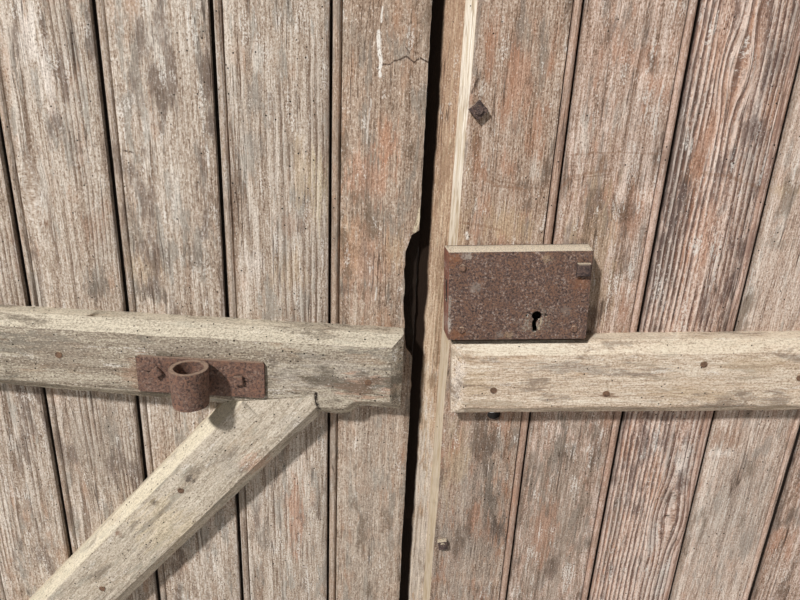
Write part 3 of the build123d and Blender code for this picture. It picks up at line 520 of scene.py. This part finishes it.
stain_tones = {
    "limed": "dfd4c9", "bleached": "cdc4b8", "dusty": "b6ab9d", "ashen": "978d82",
    "greyed": "887b6d", "slaty": "71665b", "sooty": "574c44", "sandy": "ccb997",
    "tan": "b2997b", "ruddy": "ae7f64", "brown": "96755f", "umber": "7c5f4b", "rusty": "8d5d3f",
}
dark_scratch, pale_scratch, brown_scrape, deep_scrape = "3c2a20", "ebe3d8", "84624a", "6f4f37"
left_tones = ("634d3d", "ab9886", "dcd0c2", "b0886c", "928c82", "67574d")
plain_tones = ("604b3b", "9f8875", "cbb8a5", "a97c5c", "8a8277", "695848")
right_tones = ("5d4738", "ac907d", "e2cfc1", "ae7a5c", "8b7f74", "615044")
ridged_tones = ("5d443a", "bd9c88", "e8d5c7", "b57f5c", "81766e", "62504a")
pale_tones = ("6f5a4c", "bca391", "e5d7c9", "b78d73", "9b9085", "756555")
rain_crust = crusted(level=0.9965, slope=-0.0122)
board_looks = {
    "left_board_1": dict(
        seed=3.1, tones=plain_tones, heart=(18, 16), ridged=0.05, stain=0.35, chalk=0.1, dirt=0.35,
        grey=0.5, worms=0.15,
        stains=(
            (-60, 1161, 20, 27, "ruddy", 0.5), (-52, 1129, 13, 15, "greyed", 0.6),
            (-78, 1280, 8, 13, "greyed", 0.5), (-45, 1195, 9, 16, "ruddy", 0.5),
            (-34, 1090, 10, 18, "tan", 0.5), (-80, 1095, 10, 30, "tan", 0.4),
            (-54, 740, 34, 190, "dusty", 0.4), (-68, 1080, 30, 36, "ruddy", 0.35),
        ),
        marks=[
            drawn_line(
                [(-0.056, 1.261), (-0.049, 1.264), (-0.044, 1.265), (-0.041, 1.267),
                 (-0.036, 1.269), (-0.030, 1.271), (-0.023, 1.267), (-0.018, 1.271),
                 (-0.010, 1.267)],
                0.0011, dark_scratch, 0.85
            ),
            drawn_line([(-0.031, 1.279), (-0.027, 1.274)], 0.0008, dark_scratch, 0.7),
            drawn_line([(-0.053, 1.311), (-0.054, 1.299)], 0.0011, pale_scratch, 0.8),
            drawn_line(
                [(-0.056, 1.291), (-0.055, 1.279), (-0.053, 1.266), (-0.053, 1.254)],
                0.0023, "f0e9df", 0.9
            ),
            drawn_line([(-0.05, 1.051), (-0.051, 1.038)], 0.0012, pale_scratch, 0.7),
            drawn_line([(-0.061, 1.233), (-0.063, 1.214), (-0.064, 1.194)], 0.0014, "d9cfc4", 0.6),
            drawn_line([(-0.01, 1.133), (-0.012, 1.119), (-0.015, 1.112)], 0.0026, "e0d0b2", 0.7),
            rain_crust,
        ],
    ),
    "left_board_2": dict(
        seed=9.7, heart=(-30, 30), ring=6.0, ridged=0.5, stain=0.2, chalk=0.35, dirt=0.25,
        grey=0.45, worms=0.45,
        stains=(
            (-168, 1233, 9, 14, "ashen", 0.6), (-170, 1187, 9, 12, "ashen", 0.55),
            (-165, 1266, 8, 10, "bleached", 0.5), (-137, 1181, 8, 13, "greyed", 0.5),
            (-124, 1165, 10, 26, "tan", 0.45), (-140, 1065, 15, 18, "tan", 0.45),
            (-142, 1112, 12, 10, "brown", 0.45), (-109, 1154, 7, 32, "sandy", 0.5),
            (-195, 1169, 4, 48, "brown", 0.4), (-174, 1069, 10, 16, "limed", 0.45),
            (-136, 760, 9, 47, "ruddy", 0.55), (-175, 732, 8, 19, "slaty", 0.6),
        ),
        marks=[rain_crust],
    ),
    "left_board_3": dict(
        seed=15.2, heart=(6, 46), ridged=0.2, stain=0.2, chalk=0.4, dirt=0.4, grey=0.5, worms=0.3,
        stains=(
            (-254, 1277, 12, 23, "bleached", 0.5), (-254, 1225, 12, 8, "greyed", 0.65),
            (-287, 1221, 12, 10, "ashen", 0.6), (-295, 1100, 9, 18, "greyed", 0.6),
            (-233, 1074, 12, 12, "slaty", 0.6), (-285, 1034, 19, 8, "slaty", 0.7),
            (-249, 1133, 7, 28, "bleached", 0.45), (-288, 1060, 16, 11, "tan", 0.4),
            (-359, 839, 13, 27, "slaty", 0.55),
        ),
        marks=[
            drawn_line(
                [(-0.296, 1.177), (-0.291, 1.176), (-0.287, 1.175)], 0.0013, dark_scratch, 0.8
            ),
            rain_crust,
        ],
    ),
    "left_board_4": dict(
        seed=22.4, heart=(-20, 30), ridged=0.5, stain=0.4, chalk=0.3, dirt=0.4, grey=0.4,
        worms=0.25, knots=((-26, 150, 9),),
        stains=(
            (-371, 1276, 8, 32, "limed", 0.6), (-358, 1240, 4, 31, "limed", 0.5),
            (-378, 1141, 4, 30, "bleached", 0.5), (-380, 1103, 4, 4, "umber", 0.8),
            (-356, 850, 34, 60, "greyed", 0.5), (-335, 1098, 10, 13, "brown", 0.5),
            (-337, 1039, 11, 12, "slaty", 0.7), (-445, 728, 12, 22, "ruddy", 0.6),
            (-446, 887, 11, 16, "bleached", 0.6),
        ),
        marks=[rain_crust],
    ),
    "left_board_5": dict(seed=28.9, heart=(12, 26), ridged=0.5, stain=0.35),
    "left_board_6": dict(seed=34.3, heart=(0, 52), ridged=0.3, stain=0.3, knots=((14, 230, 10),)),
    "left_board_7": dict(seed=41.6, heart=(-8, 36), ridged=0.3, stain=0.3),
    "right_board_1": dict(
        seed=53.3, tones=("553f31", "9f8571", "cfbcab", "a67355", "857a6f", "5b4b3f"),
        heart=(-30, 30), ridged=0.1, stain=0.6, chalk=0.15, dirt=0.45, grey=0.4, worms=0.1,
        shade_from_x=-35.0,
        stains=(
            (66, 760, 40, 150, "ashen", 0.5), (73, 1258, 11, 30, "ruddy", 0.45),
            (76, 1291, 6, 12, "greyed", 0.6), (93, 1273, 5, 23, "greyed", 0.5),
            (35, 1253, 4, 8, "sooty", 0.6), (39, 1198, 4, 10, "umber", 0.65),
            (76, 1123, 22, 15, "tan", 0.5), (97, 1178, 4, 10, "bleached", 0.4),
            (28, 1080, 10, 90, "tan", 0.4), (87, 815, 9, 38, "slaty", 0.7),
            (103, 759, 8, 16, "sooty", 0.7), (73, 775, 7, 22, "ruddy", 0.6),
            (45, 850, 12, 45, "tan", 0.5),
        ),
        marks=[
            planed_bevel,
            drawn_line(
                [(0.043, 1.178), (0.050, 1.166), (0.062, 1.160), (0.077, 1.158), (0.091, 1.157)],
                0.0026, brown_scrape, 0.5
            ),
            drawn_line(
                [(0.046, 1.179), (0.053, 1.169), (0.065, 1.164), (0.090, 1.161)],
                0.0012, deep_scrape, 0.5
            ),
            drawn_line([(0.03, 1.122), (0.051, 1.121), (0.072, 1.116)], 0.0018, brown_scrape, 0.45),
            drawn_line([(0.036, 1.255), (0.031, 1.243)], 0.0018, dark_scratch, 0.75),
            drawn_line([(0.04, 1.253), (0.04, 1.242)], 0.0014, "c9bdae", 0.6),
            drawn_line([(0.037, 1.112), (0.038, 1.107)], 0.0024, pale_scratch, 0.95),
        ],
    ),
    "right_board_2": dict(
        seed=60.1, heart=(14, 44), ridged=0.2, stain=0.4, chalk=0.4, dirt=0.5, grey=0.4, worms=0.1,
        stains=(
            (139, 1208, 6, 23, "bleached", 0.45), (167, 1230, 5, 13, "bleached", 0.4),
            (165, 770, 40, 150, "greyed", 0.6), (166, 1090, 22, 70, "tan", 0.45),
            (160, 1185, 3, 8, "umber", 0.7), (163, 1152, 4, 7, "umber", 0.7),
            (170, 1280, 20, 10, "ruddy", 0.45), (194, 1136, 10, 27, "ruddy", 0.45),
            (159, 867, 6, 40, "slaty", 0.7), (135, 818, 7, 21, "slaty", 0.65),
            (155, 762, 12, 40, "ruddy", 0.45),
        ),
        marks=[
            drawn_line(
                [(0.123, 1.157), (0.130, 1.170), (0.139, 1.173), (0.153, 1.177), (0.170, 1.180)],
                0.0024, brown_scrape, 0.5
            ),
            drawn_line([(0.136, 1.169), (0.153, 1.173), (0.17, 1.176)], 0.0012, deep_scrape, 0.5),
            drawn_line(
                [(0.129, 1.192), (0.158, 1.195), (0.184, 1.197), (0.213, 1.196)],
                0.0014, brown_scrape, 0.45
            ),
        ],
    ),
    "right_board_3": dict(
        seed=67.5, tones=ridged_tones, heart=(4, 12), ring=5.4, ridged=1.0, stain=0.5, chalk=0.35,
        dirt=0.4, grey=0.4, worms=0.35, knots=((23, -171, 12), (-9, 316, 9)),
        stains=(
            (232, 1185, 17, 70, "sooty", 0.85), (236, 1095, 15, 60, "sooty", 0.8),
            (254, 1208, 12, 30, "ruddy", 0.5), (263, 1127, 13, 42, "ruddy", 0.5),
            (249, 1284, 9, 20, "ruddy", 0.4), (267, 1301, 8, 6, "umber", 0.7),
            (293, 1224, 5, 34, "limed", 0.5), (301, 861, 9, 24, "limed", 0.7),
            (282, 870, 4, 26, "sooty", 0.8), (295, 816, 8, 8, "slaty", 0.75),
            (285, 758, 6, 18, "limed", 0.6), (309, 695, 8, 23, "limed", 0.6),
            (237, 774, 7, 43, "slaty", 0.65),
        ),
        marks=[
            drawn_line(
                [(0.257, 1.181), (0.282, 1.179), (0.297, 1.174), (0.316, 1.169)],
                0.0024, brown_scrape, 0.45
            ),
        ],
    ),
    "right_board_4": dict(
        seed=73.8, tones=pale_tones, heart=(-12, 60), ridged=0.2, stain=0.25, chalk=0.2, dirt=0.3,
        grey=0.4, worms=0.4,
        stains=(
            (368, 800, 34, 80, "ashen", 0.45), (346, 1115, 15, 6, "greyed", 0.5),
            (335, 1169, 12, 5, "tan", 0.5), (347, 896, 17, 13, "brown", 0.6),
            (340, 876, 12, 5, "limed", 0.6),
        ),
    ),
    "right_board_5": dict(seed=80.2, heart=(8, 34), ridged=0.4, stain=0.5),
    "right_board_6": dict(seed=86.6, heart=(-6, 30), ridged=0.4, stain=0.5, knots=((10, 60, 8),)),
    "right_board_7": dict(seed=92.9, heart=(10, 44), ridged=0.3, stain=0.4),
}
worked_edges = {"left_board_1": frayed_edge, "right_board_1": planed_edge}
shrinkage = {
    "left_board_1": (-2.2, 0.0), "left_board_2": (-1.2, -0.4), "left_board_3": (-1.0, -0.5),
    "left_board_4": (-1.4, -0.8), "left_board_5": (0.0, -1.6), "right_board_1": (0.0, 2.8),
    "right_board_2": (0.8, 1.8), "right_board_3": (0.6, 2.2), "right_board_4": (0.8, 0.0),
}
tongue_reach = 0.0095
moulding_width = 0.0115
groove_lip = 0.005
tongue_top = 0.0205
bead_inset = 4
joint_shade_depth = -6.0
board_slice = 0.028
seen_stretch = (0.56, 1.36, 0.22)
left_lip, right_lip = 0.012, 0.016


def shrunken_board(low, high, hinge_side, moves, worked):
    """Lets the front lips of a board's two edges stand where the wood has shrunk or swelled to."""
    far = high.x - tongue_reach if hinge_side > 0 else low.x + tongue_reach
    near = low.x if hinge_side > 0 else high.x
    far_move, near_move = (moves[1], moves[0]) if hinge_side > 0 else moves

    def shape(place):
        if place.y < tongue_top and abs(place.x - far) < moulding_width:
            place = place + Vector((far_move / per_metre, 0, 0))
        elif place.y < tongue_top and abs(place.x - near) < groove_lip:
            place = place + Vector((near_move / per_metre, 0, 0))
        return worked(place) if worked else place
    return shape


for node, look in board_looks.items():
    leaf, slot, hinge_side = "left_leaf", "left_boards", -1
    if node.startswith("right"):
        leaf, slot, hinge_side = "right_leaf", "right_boards", 1
    look.setdefault("tones", left_tones if hinge_side < 0 else right_tones)
    low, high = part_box(node)
    middle = (low + high) / 2
    moves = shrinkage.get(node, (0.0, 0.0))
    bead_edge = high.x - tongue_reach if hinge_side > 0 else low.x + tongue_reach
    bead = (bead_edge - middle.x) * per_metre - hinge_side * bead_inset + moves[max(hinge_side, 0)]
    bead = (bead, "96806f", 0.25) if hinge_side < 0 else (bead, "c09a86", 0.35)
    finish = old_wood(f"{node}_wood", centre=middle, bead=bead,
                      joints=(high.x - low.x) / 2 * per_metre, shaded_depth=joint_shade_depth, **look)
    worn_copy(node, leaf, finish, upright, board_slice, close=seen_stretch,
              cuts=[(Vector((edge, 0, 0)), crosswise)
                    for edge in (low.x + left_lip, high.x - right_lip)],
              shape=shrunken_board(low, high, hinge_side, moves, worked_edges.get(node)))


# Ledges: bevelled rails nailed across the boards on the inside. The left ones are grey, greenish
# and worm-eaten, the right ones pale and dry, and light dust lies on their upper bevels.
def rusted_iron(name, seed, tones, dust=0.4, scale=1.0, light="d9c9ae", fill=0.5, marks=()):
    """Old forged or sheet iron: brown to orange rust in patches, pitted, with pale dust on top."""
    finish, shader, place = start_finish(name)
    big = cloud(place, 22 * scale, 22 * scale, seed, 4.0, 0.6)
    small = cloud(place, 4.2 * scale, 4.2 * scale, seed + 1, 5.0, 0.72)
    grain = cloud(place, 1.3, 1.3, seed + 2, 3.0, 0.7)
    crumb = cloud(place, 2.2, 2.2, seed + 3, 4.0, 0.75)
    dark, middle, orange, pale = (tint(code) for code in tones)
    tone = small * 0.4 + grain * 0.35 + crumb * 0.25
    stops = ((0.40, dark), (0.48, middle), (0.58, orange))
    colour = tone.node("ValToRGB", {"stops": stops}, {0: tone})
    colour = (big.rise(0.50, 0.60) * small.rise(0.42, 0.58) * fill).over(colour, orange)
    colour = (crumb.rise(0.53, 0.63) * big.rise(0.58, 0.44) * dust).over(colour, pale)
    colour = (crumb.rise(0.44, 0.36) * 0.5).over(colour, dark)
    for mark in marks:
        colour = mark(place, colour)
    upward = facing(place, 2)
    # Painted shade: faces that look down are darkened.
    colour = (upward.rise(-0.25, -0.8) * 0.7).over(colour, dark)
    settled = upward.rise(0.6, 0.9) * (0.95 - grain.rise(0.5, 0.4) * 0.6)
    colour = settled.over(colour, tint(light))
    height = (small - 0.5) * 0.9 + (grain - 0.5) * 0.7 + (crumb - 0.5) * 0.9
    end_finish(shader, colour, height, depth=1.0, roughness=0.75, shine=0.3)
    return finish


def finish_as_made(finish, *nodes):
    """Gives made pieces whose shape is right the finish of the real ones."""
    for node in nodes:
        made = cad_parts[node].data.materials
        made.clear()
        made.append(finish)


def worn_arris(seed):
    """The front arrises of a ledge, cut by hand, wander a little along its length."""
    def shape(place):
        if place.y > bevel_start:
            return place
        wander = noise.noise(Vector((place.x * 17, seed, place.z * 9))) * 0.0022
        return place + Vector((0, 0, wander))
    return shape


bevel_start = -0.0145
bevel_lines = (-0.024, 0.024)
ledge_slice = 0.007
sags = {"left": math.radians(0.7), "right": math.radians(-3.5)}
left_ledge_tones = ("63574a", "958776", "c9bda8", "a5876a", "7f796d", "564d41")
right_ledge_tones = ("87725f", "c6af97", "ecdfcc", "b9946f", "a89782", "78685a")
ledge_stains = {
    "left_ledge_middle": (
        (-364, 978, 31, 17, "greyed", 0.5), (-247, 987, 52, 7, "greyed", 0.5),
        (-136, 961, 13, 14, "dusty", 0.6), (-61, 968, 10, 5, "slaty", 0.5),
        (-78, 965, 40, 20, "dusty", 0.5), (-60, 953, 24, 12, "ruddy", 0.5),
        (-291, 956, 13, 17, "brown", 0.55), (-152, 975, 5, 9, "slaty", 0.6),
    ),
    "right_ledge_middle": (
        (158, 985, 41, 6, "ashen", 0.55), (278, 962, 31, 7, "tan", 0.5),
        (56, 962, 16, 14, "tan", 0.5), (193, 956, 8, 3, "umber", 0.6),
        (335, 999, 30, 8, "tan", 0.45), (38, 961, 5, 23, "limed", 0.5),
    ),
}
# Painted shade of an open gap: a broken near-black line where the brace meets the middle ledge.
gap_shade = "1d1410"
notch_shade = drawn_line([(-0.108, 0.943), (-0.107, 0.934), (-0.105, 0.923)], 0.0027, gap_shade, 0.95)
for node, tones, look in (
    ("left_ledge_middle", left_ledge_tones,
     dict(seed=101.0, worms=0.75, coarse=0.85, marks=[notch_shade])),
    ("left_ledge_bottom", left_ledge_tones, dict(seed=107.0, worms=0.6, coarse=0.7)),
    ("left_ledge_top", left_ledge_tones, dict(seed=113.0, worms=0.6, coarse=0.7)),
    ("right_ledge_middle", right_ledge_tones, dict(seed=121.0, worms=0.3, coarse=0.55)),
    ("right_ledge_bottom", right_ledge_tones, dict(seed=127.0, worms=0.3, coarse=0.55)),
    ("right_ledge_top", right_ledge_tones, dict(seed=133.0, worms=0.3, coarse=0.55)),
):
    side = node.split("_")[0]
    sag = sags[side]
    low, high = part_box(node)
    middle = (low + high) / 2
    run = Vector((math.cos(sag), 0, -math.sin(sag)))
    rise = Vector((math.sin(sag), 0, math.cos(sag)))
    finish = old_wood(f"{node}_wood", centre=middle, tones=tones, turn=math.pi / 2 + sag,
                      heart=(6, 50), ridged=0.1, stain=0.2, chalk=0.15, dirt=0.4, contrast=1.15,
                      fresh=(2, 0.3, 0.6, "e3d8c1", 0.6), stains=ledge_stains.get(node, ()), **look)
    worn_copy(node, f"{side}_leaf", finish, run, ledge_slice,
              cuts=[(middle + rise * shift, rise) for shift in bevel_lines],
              rounding=0.0015, wear=0.0022, grit=0.016, shape=worn_arris(look["seed"]))
nail_rust = rusted_iron("nail_rust", 207.0, ("3b2c22", "6a5140", "84634b", "8f7d68"))
finish_as_made(nail_rust, "left_ledge_nails", "right_ledge_nails")

# Brace: one bevelled length of the ledge stock from the hinge end of the bottom ledge up to a notch
# in the middle one, which carries the free edge of the left leaf.
low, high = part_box("left_brace")
middle = (low + high) / 2
rise_angle = math.radians(48.5)
run = Vector((math.cos(rise_angle), 0, math.sin(rise_angle)))
rise = Vector((-math.sin(rise_angle), 0, math.cos(rise_angle)))
finish = old_wood("left_brace_wood", seed=141.0, centre=middle,
                  tones=("7d7062", "baab97", "ded2c0", "b69b7e", "a1998a", "7b6e5f"),
                  turn=math.pi / 2 - rise_angle, heart=(5, 40), ridged=0.1, stain=0.2, chalk=0.25,
                  dirt=0.35, worms=0.55, coarse=0.75, fresh=(2, 0.25, 0.5, "e0d4b8", 0.65),
                  marks=[notch_shade],
                  stains=((-202, 851, 19, 16, "dusty", 0.5), (-132, 902, 16, 12, "dusty", 0.5),
                          (-174, 856, 14, 13, "ruddy", 0.45), (-246, 832, 4, 4, "sooty", 0.85),
                          (-288, 798, 4, 5, "sooty", 0.85), (-334, 754, 4, 4, "umber", 0.75),
                          (-280, 769, 26, 32, "sandy", 0.4)))
worn_copy("left_brace", "left_leaf", finish, run, ledge_slice,
          cuts=[(middle + rise * shift, rise) for shift in bevel_lines],
          rounding=0.0015, wear=0.0022, grit=0.016)

# Cover strip: a plain board bolted on behind the meeting edge of the right leaf. What shows of it
# lies deep between the leaves, and the left leaf's shadow is painted on it near black, with dirt.
low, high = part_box("cover_strip")
shade_edge, edge_gain = 0.0025, 0.0008


def painted_leaf_shadow(spot, colour):
    """Painted shadow of the left leaf, near black with dirt, as crooked as that leaf's edge."""
    place = own_place(spot)
    crooked = (cloud(place, 0.03, 0.03, 31.0, 3.0) - 0.5) * 0.006
    in_leaf_shadow = (axis_of(place, 0) + crooked).rise(shade_edge + 0.0015, shade_edge - 0.0015)
    return in_leaf_shadow.over(colour, tint("22170f"))


def wider_edge(place):
    """The strip's left edge stands a little further out, so that no light shows past it."""
    return place - Vector((edge_gain, 0, 0)) if place.x < 0 else place


finish = old_wood("cover_strip_wood", seed=151.0, centre=(low + high) / 2,
                  tones=("7d634b", "b3977e", "d6c1a6", "a98461", "917b63", "745d47"),
                  heart=(20, 30), ridged=0.35, stain=0.2, chalk=0.1, dirt=0.3, worms=0.05,
                  stains=((12, 1290, 30, 150, "brown", 0.45), (12, 700, 30, 170, "bleached", 0.6)),
                  marks=[painted_leaf_shadow])
worn_copy("cover_strip", "right_leaf", finish, upright, step=0.03,
          close=(0.56, 1.36, 0.3), shape=wider_edge)
fastener_rust = rusted_iron("fastener_rust", 211.0, ("221a18", "493b38", "6a544a", "8f8072"))
finish_as_made(fastener_rust, "cover_strip_bolts")
bolt_low, bolt_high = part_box("cover_strip_bolts")
small_nut_x, small_nut_z = (bolt_low.x + bolt_high.x) / 2, 1.2284
nut_share, nut_reach = 0.86, 0.02


def odd_nut(place):
    """The nut above the lock is smaller than the others on the strip."""
    if abs(place.z - small_nut_z) > nut_reach:
        return place
    return Vector((small_nut_x + (place.x - small_nut_x) * nut_share, place.y,
                   small_nut_z + (place.z - small_nut_z) * nut_share))


worn_copy("cover_strip_nuts", "right_leaf", fastener_rust, upright, step=0.004,
          rounding=0.0004, wear=0.0006, grit=0.004, shape=odd_nut)

# Frame: rebated jambs tenoned into the head and pegged, of the same old softwood as the doors. Two
# holes through each jamb take the bolts that hold it to the wall.
for node, turn in (("jamb_left", 0), ("jamb_right", 0), ("head_rail", math.pi / 2)):
    low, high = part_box(node)
    finish = old_wood(f"{node}_wood", seed=161.0 + low.x, centre=(low + high) / 2, turn=turn,
                      tones=("65554a", "9c8874", "c4b3a0", "94765f", "857869", "5b4d42"),
                      heart=(10, 50), ridged=0.35, stain=0.2, worms=0.3)
    worn_copy(node, "frame", finish, upright if turn == 0 else crosswise, step=0.03,
              rounding=0.0015, wear=0.001, bite=0.85)
peg_height = 1.9
pegs = old_wood("peg_wood", seed=171.0, centre=(0, 0, peg_height),
                tones=("5d4c3d", "8b7763", "b0a08d", "7d6250", "75695b", "4d4034"))
finish_as_made(pegs, "frame_pegs")

# Hinges: smith-made straps bolted through the boards, whose rolled eyes hang on pintles that are
# screwed to the backs of the jambs. All of it is rusted brown.
hinge_rust = rusted_iron("hinge_rust", 201.0, ("2e211b", "5a4033", "8a5a3c", "8d7d6c"))
for side in ("left", "right"):
    for level in ("bottom", "top"):
        worn_copy(f"{side}_strap_{level}", f"{side}_leaf", hinge_rust, crosswise,
                  step=0.012, rounding=0.0006, wear=0.0005, bite=0.85, merge=0.0001)
        worn_copy(f"pintle_{side}_{level}", "frame", hinge_rust, upright, step=0.012,
                  rounding=0.0006, wear=0.0004, bite=0.85)
    finish_as_made(fastener_rust, f"{side}_strap_bolts", f"{side}_strap_nuts")
finish_as_made(fastener_rust, "pintle_screws")

# Bar socket: a forged strap with a ring, held to the middle ledge by two square-headed nails. It
# took the end of the bar that closed the door.
socket_rust = rusted_iron("socket_rust", 221.0, ("2f211d", "675046", "8d6753", "a5988b"),
                          scale=0.8, light="9c8572", fill=0.4)
worn_copy("bar_socket", "left_leaf", socket_rust, upright, step=0.004,
          rounding=0.0007, wear=0.0010, grit=0.006, bite=0.85)
worn_copy("bar_socket_nails", "left_leaf", socket_rust, upright, step=0.003,
          rounding=0.0006, wear=0.0006, grit=0.004)

# Rim lock: a case of sheet iron riveted together, brown with rust, whose upper edge is pale with
# dust. The metal round the keyhole is scratched grey by the key.
keyhole_x, keyhole_z = 110.0, 1033.0
slot_low, slot_high, slot_half = 1.0150, 1.0345, 7.0
slot_slices = (1.020, 1.023, 1.026, 1.029, 1.032)


def key_scratches(spot, colour):
    """Grey bare metal and pale dust in an uneven patch round the keyhole."""
    x, z = spot_of(spot)
    frayed = (cloud(spot, 7, 7, 25.0, 4.0, 0.7) - 0.5) * 4.0
    reach = span((x - keyhole_x) / 17.0, (z - keyhole_z) / 14.0) + frayed
    crumbs = cloud(spot, 1.6, 1.6, 26.0, 4.0, 0.7).rise(0.46, 0.58)
    return (reach.rise(1.15, 0.3) * crumbs * 0.6).over(colour, tint("aba291"))


def blooms(*spots):
    """Places on the case where the rust is brighter, or old paint and lime still stick."""
    def lay(spot, colour):
        x, z = spot_of(spot)
        frayed = (cloud(spot, 2.4, 2.4, 28.0, 4.0, 0.75) - 0.5) * 6.0
        for bloom_x, bloom_z, wide, high, kind, share in spots:
            reach = span((x - bloom_x) / wide, (z - bloom_z) / high) + frayed
            colour = (reach.rise(1.5, 0.3) * share).over(colour, tint(stain_tones[kind]))
        return colour
    return lay


def folded_end(spot, colour):
    """The end that is folded back to the boards is redder than the front."""
    patches = cloud(spot, 4, 9, 29.0, 4.0, 0.7).rise(0.36, 0.56)
    ruddy = facing(spot, 0).rise(-0.5, -0.8) * patches
    return (ruddy * 0.75).over(colour, tint("8c5342"))


def dark_inside(spot, colour):
    """No light and much old grease behind the keyhole and the pin holes."""
    x, z = spot_of(spot)
    off_x, off_z = (x - keyhole_x) / 14.0, (z - keyhole_z) / 20.0
    near = (off_x * off_x + off_z * off_z).rise(1.1, 0.9)
    behind = axis_of(own_place(spot), 1).rise(-0.0125, -0.0120)
    return (near * behind * 0.95).over(colour, tint("17100c"))


def worn_keyhole(place):
    """The key has worn the slot of the keyhole into a crooked shape."""
    if abs(place.x * per_metre - keyhole_x) > slot_half or not slot_low < place.z < slot_high:
        return place
    swing = math.sin((place.z - slot_slices[0]) * 420) * 0.0011
    return place + Vector((swing, 0, 0))


case_tones = ("2a1f1c", "5e4a43", "86634c", "b2a397")
case_marks = [
    blooms(
        (24, 1092, 7, 6, "rusty", 0.6), (32, 1015, 9, 6, "rusty", 0.55),
        (148, 1074, 9, 8, "rusty", 0.45), (37, 1096, 4, 3, "dusty", 0.55),
        (112, 1097, 4, 3, "tan", 0.5), (47, 1065, 4, 4, "ashen", 0.45),
        (75, 1017, 3, 3, "ashen", 0.5), (84, 1017, 3, 3, "tan", 0.5),
        (15, 1080, 3, 4, "limed", 0.7), (23, 1025, 3, 8, "bleached", 0.6),
        (23, 1045, 2, 8, "dusty", 0.5), (137, 1045, 5, 5, "ashen", 0.3),
    ),
    key_scratches,
    drawn_line([(0.113, 1.038), (0.114, 1.033), (0.113, 1.025)], 0.0011, "bba78c", 0.85),
    # Painted shade of an opening: a broken dark line just above the keyhole.
    drawn_line([(0.100, 1.042), (0.106, 1.040), (0.113, 1.041), (0.120, 1.043)], 0.0012, gap_shade,
               0.75),
    folded_end,
    dark_inside,
]
lock_rust = rusted_iron("lock_rust", 231.0, case_tones, scale=0.45, dust=0.65, fill=0.35,
                        light="eadcc4", marks=case_marks)
worn_copy("lock_plate", "right_leaf", lock_rust, crosswise, step=0.006,
          cuts=[(Vector((0, 0, level)), upright) for level in slot_slices],
          rounding=0.0005, wear=0.0005, grit=0.008, shape=worn_keyhole)
worn_copy("lock_rim", "right_leaf", lock_rust, crosswise, step=0.006,
          rounding=0.0004, wear=0.0003, grit=0.008)
rivet_rust = rusted_iron("rivet_rust", 237.0, ("33251f", "6b5244", "8d6b57", "a8998a"),
                         light="c9b59c")
finish_as_made(rivet_rust, "lock_posts")
finish_as_made(fastener_rust, "lock_coach_screw")
works_rust = rusted_iron("works_rust", 241.0, ("17110e", "2a201b", "43332b", "5b4b40"),
                         light="5b4b40")
finish_as_made(works_rust, "lock_cover", "lock_bolt", "lock_guide", "lock_wards", "lock_spring")
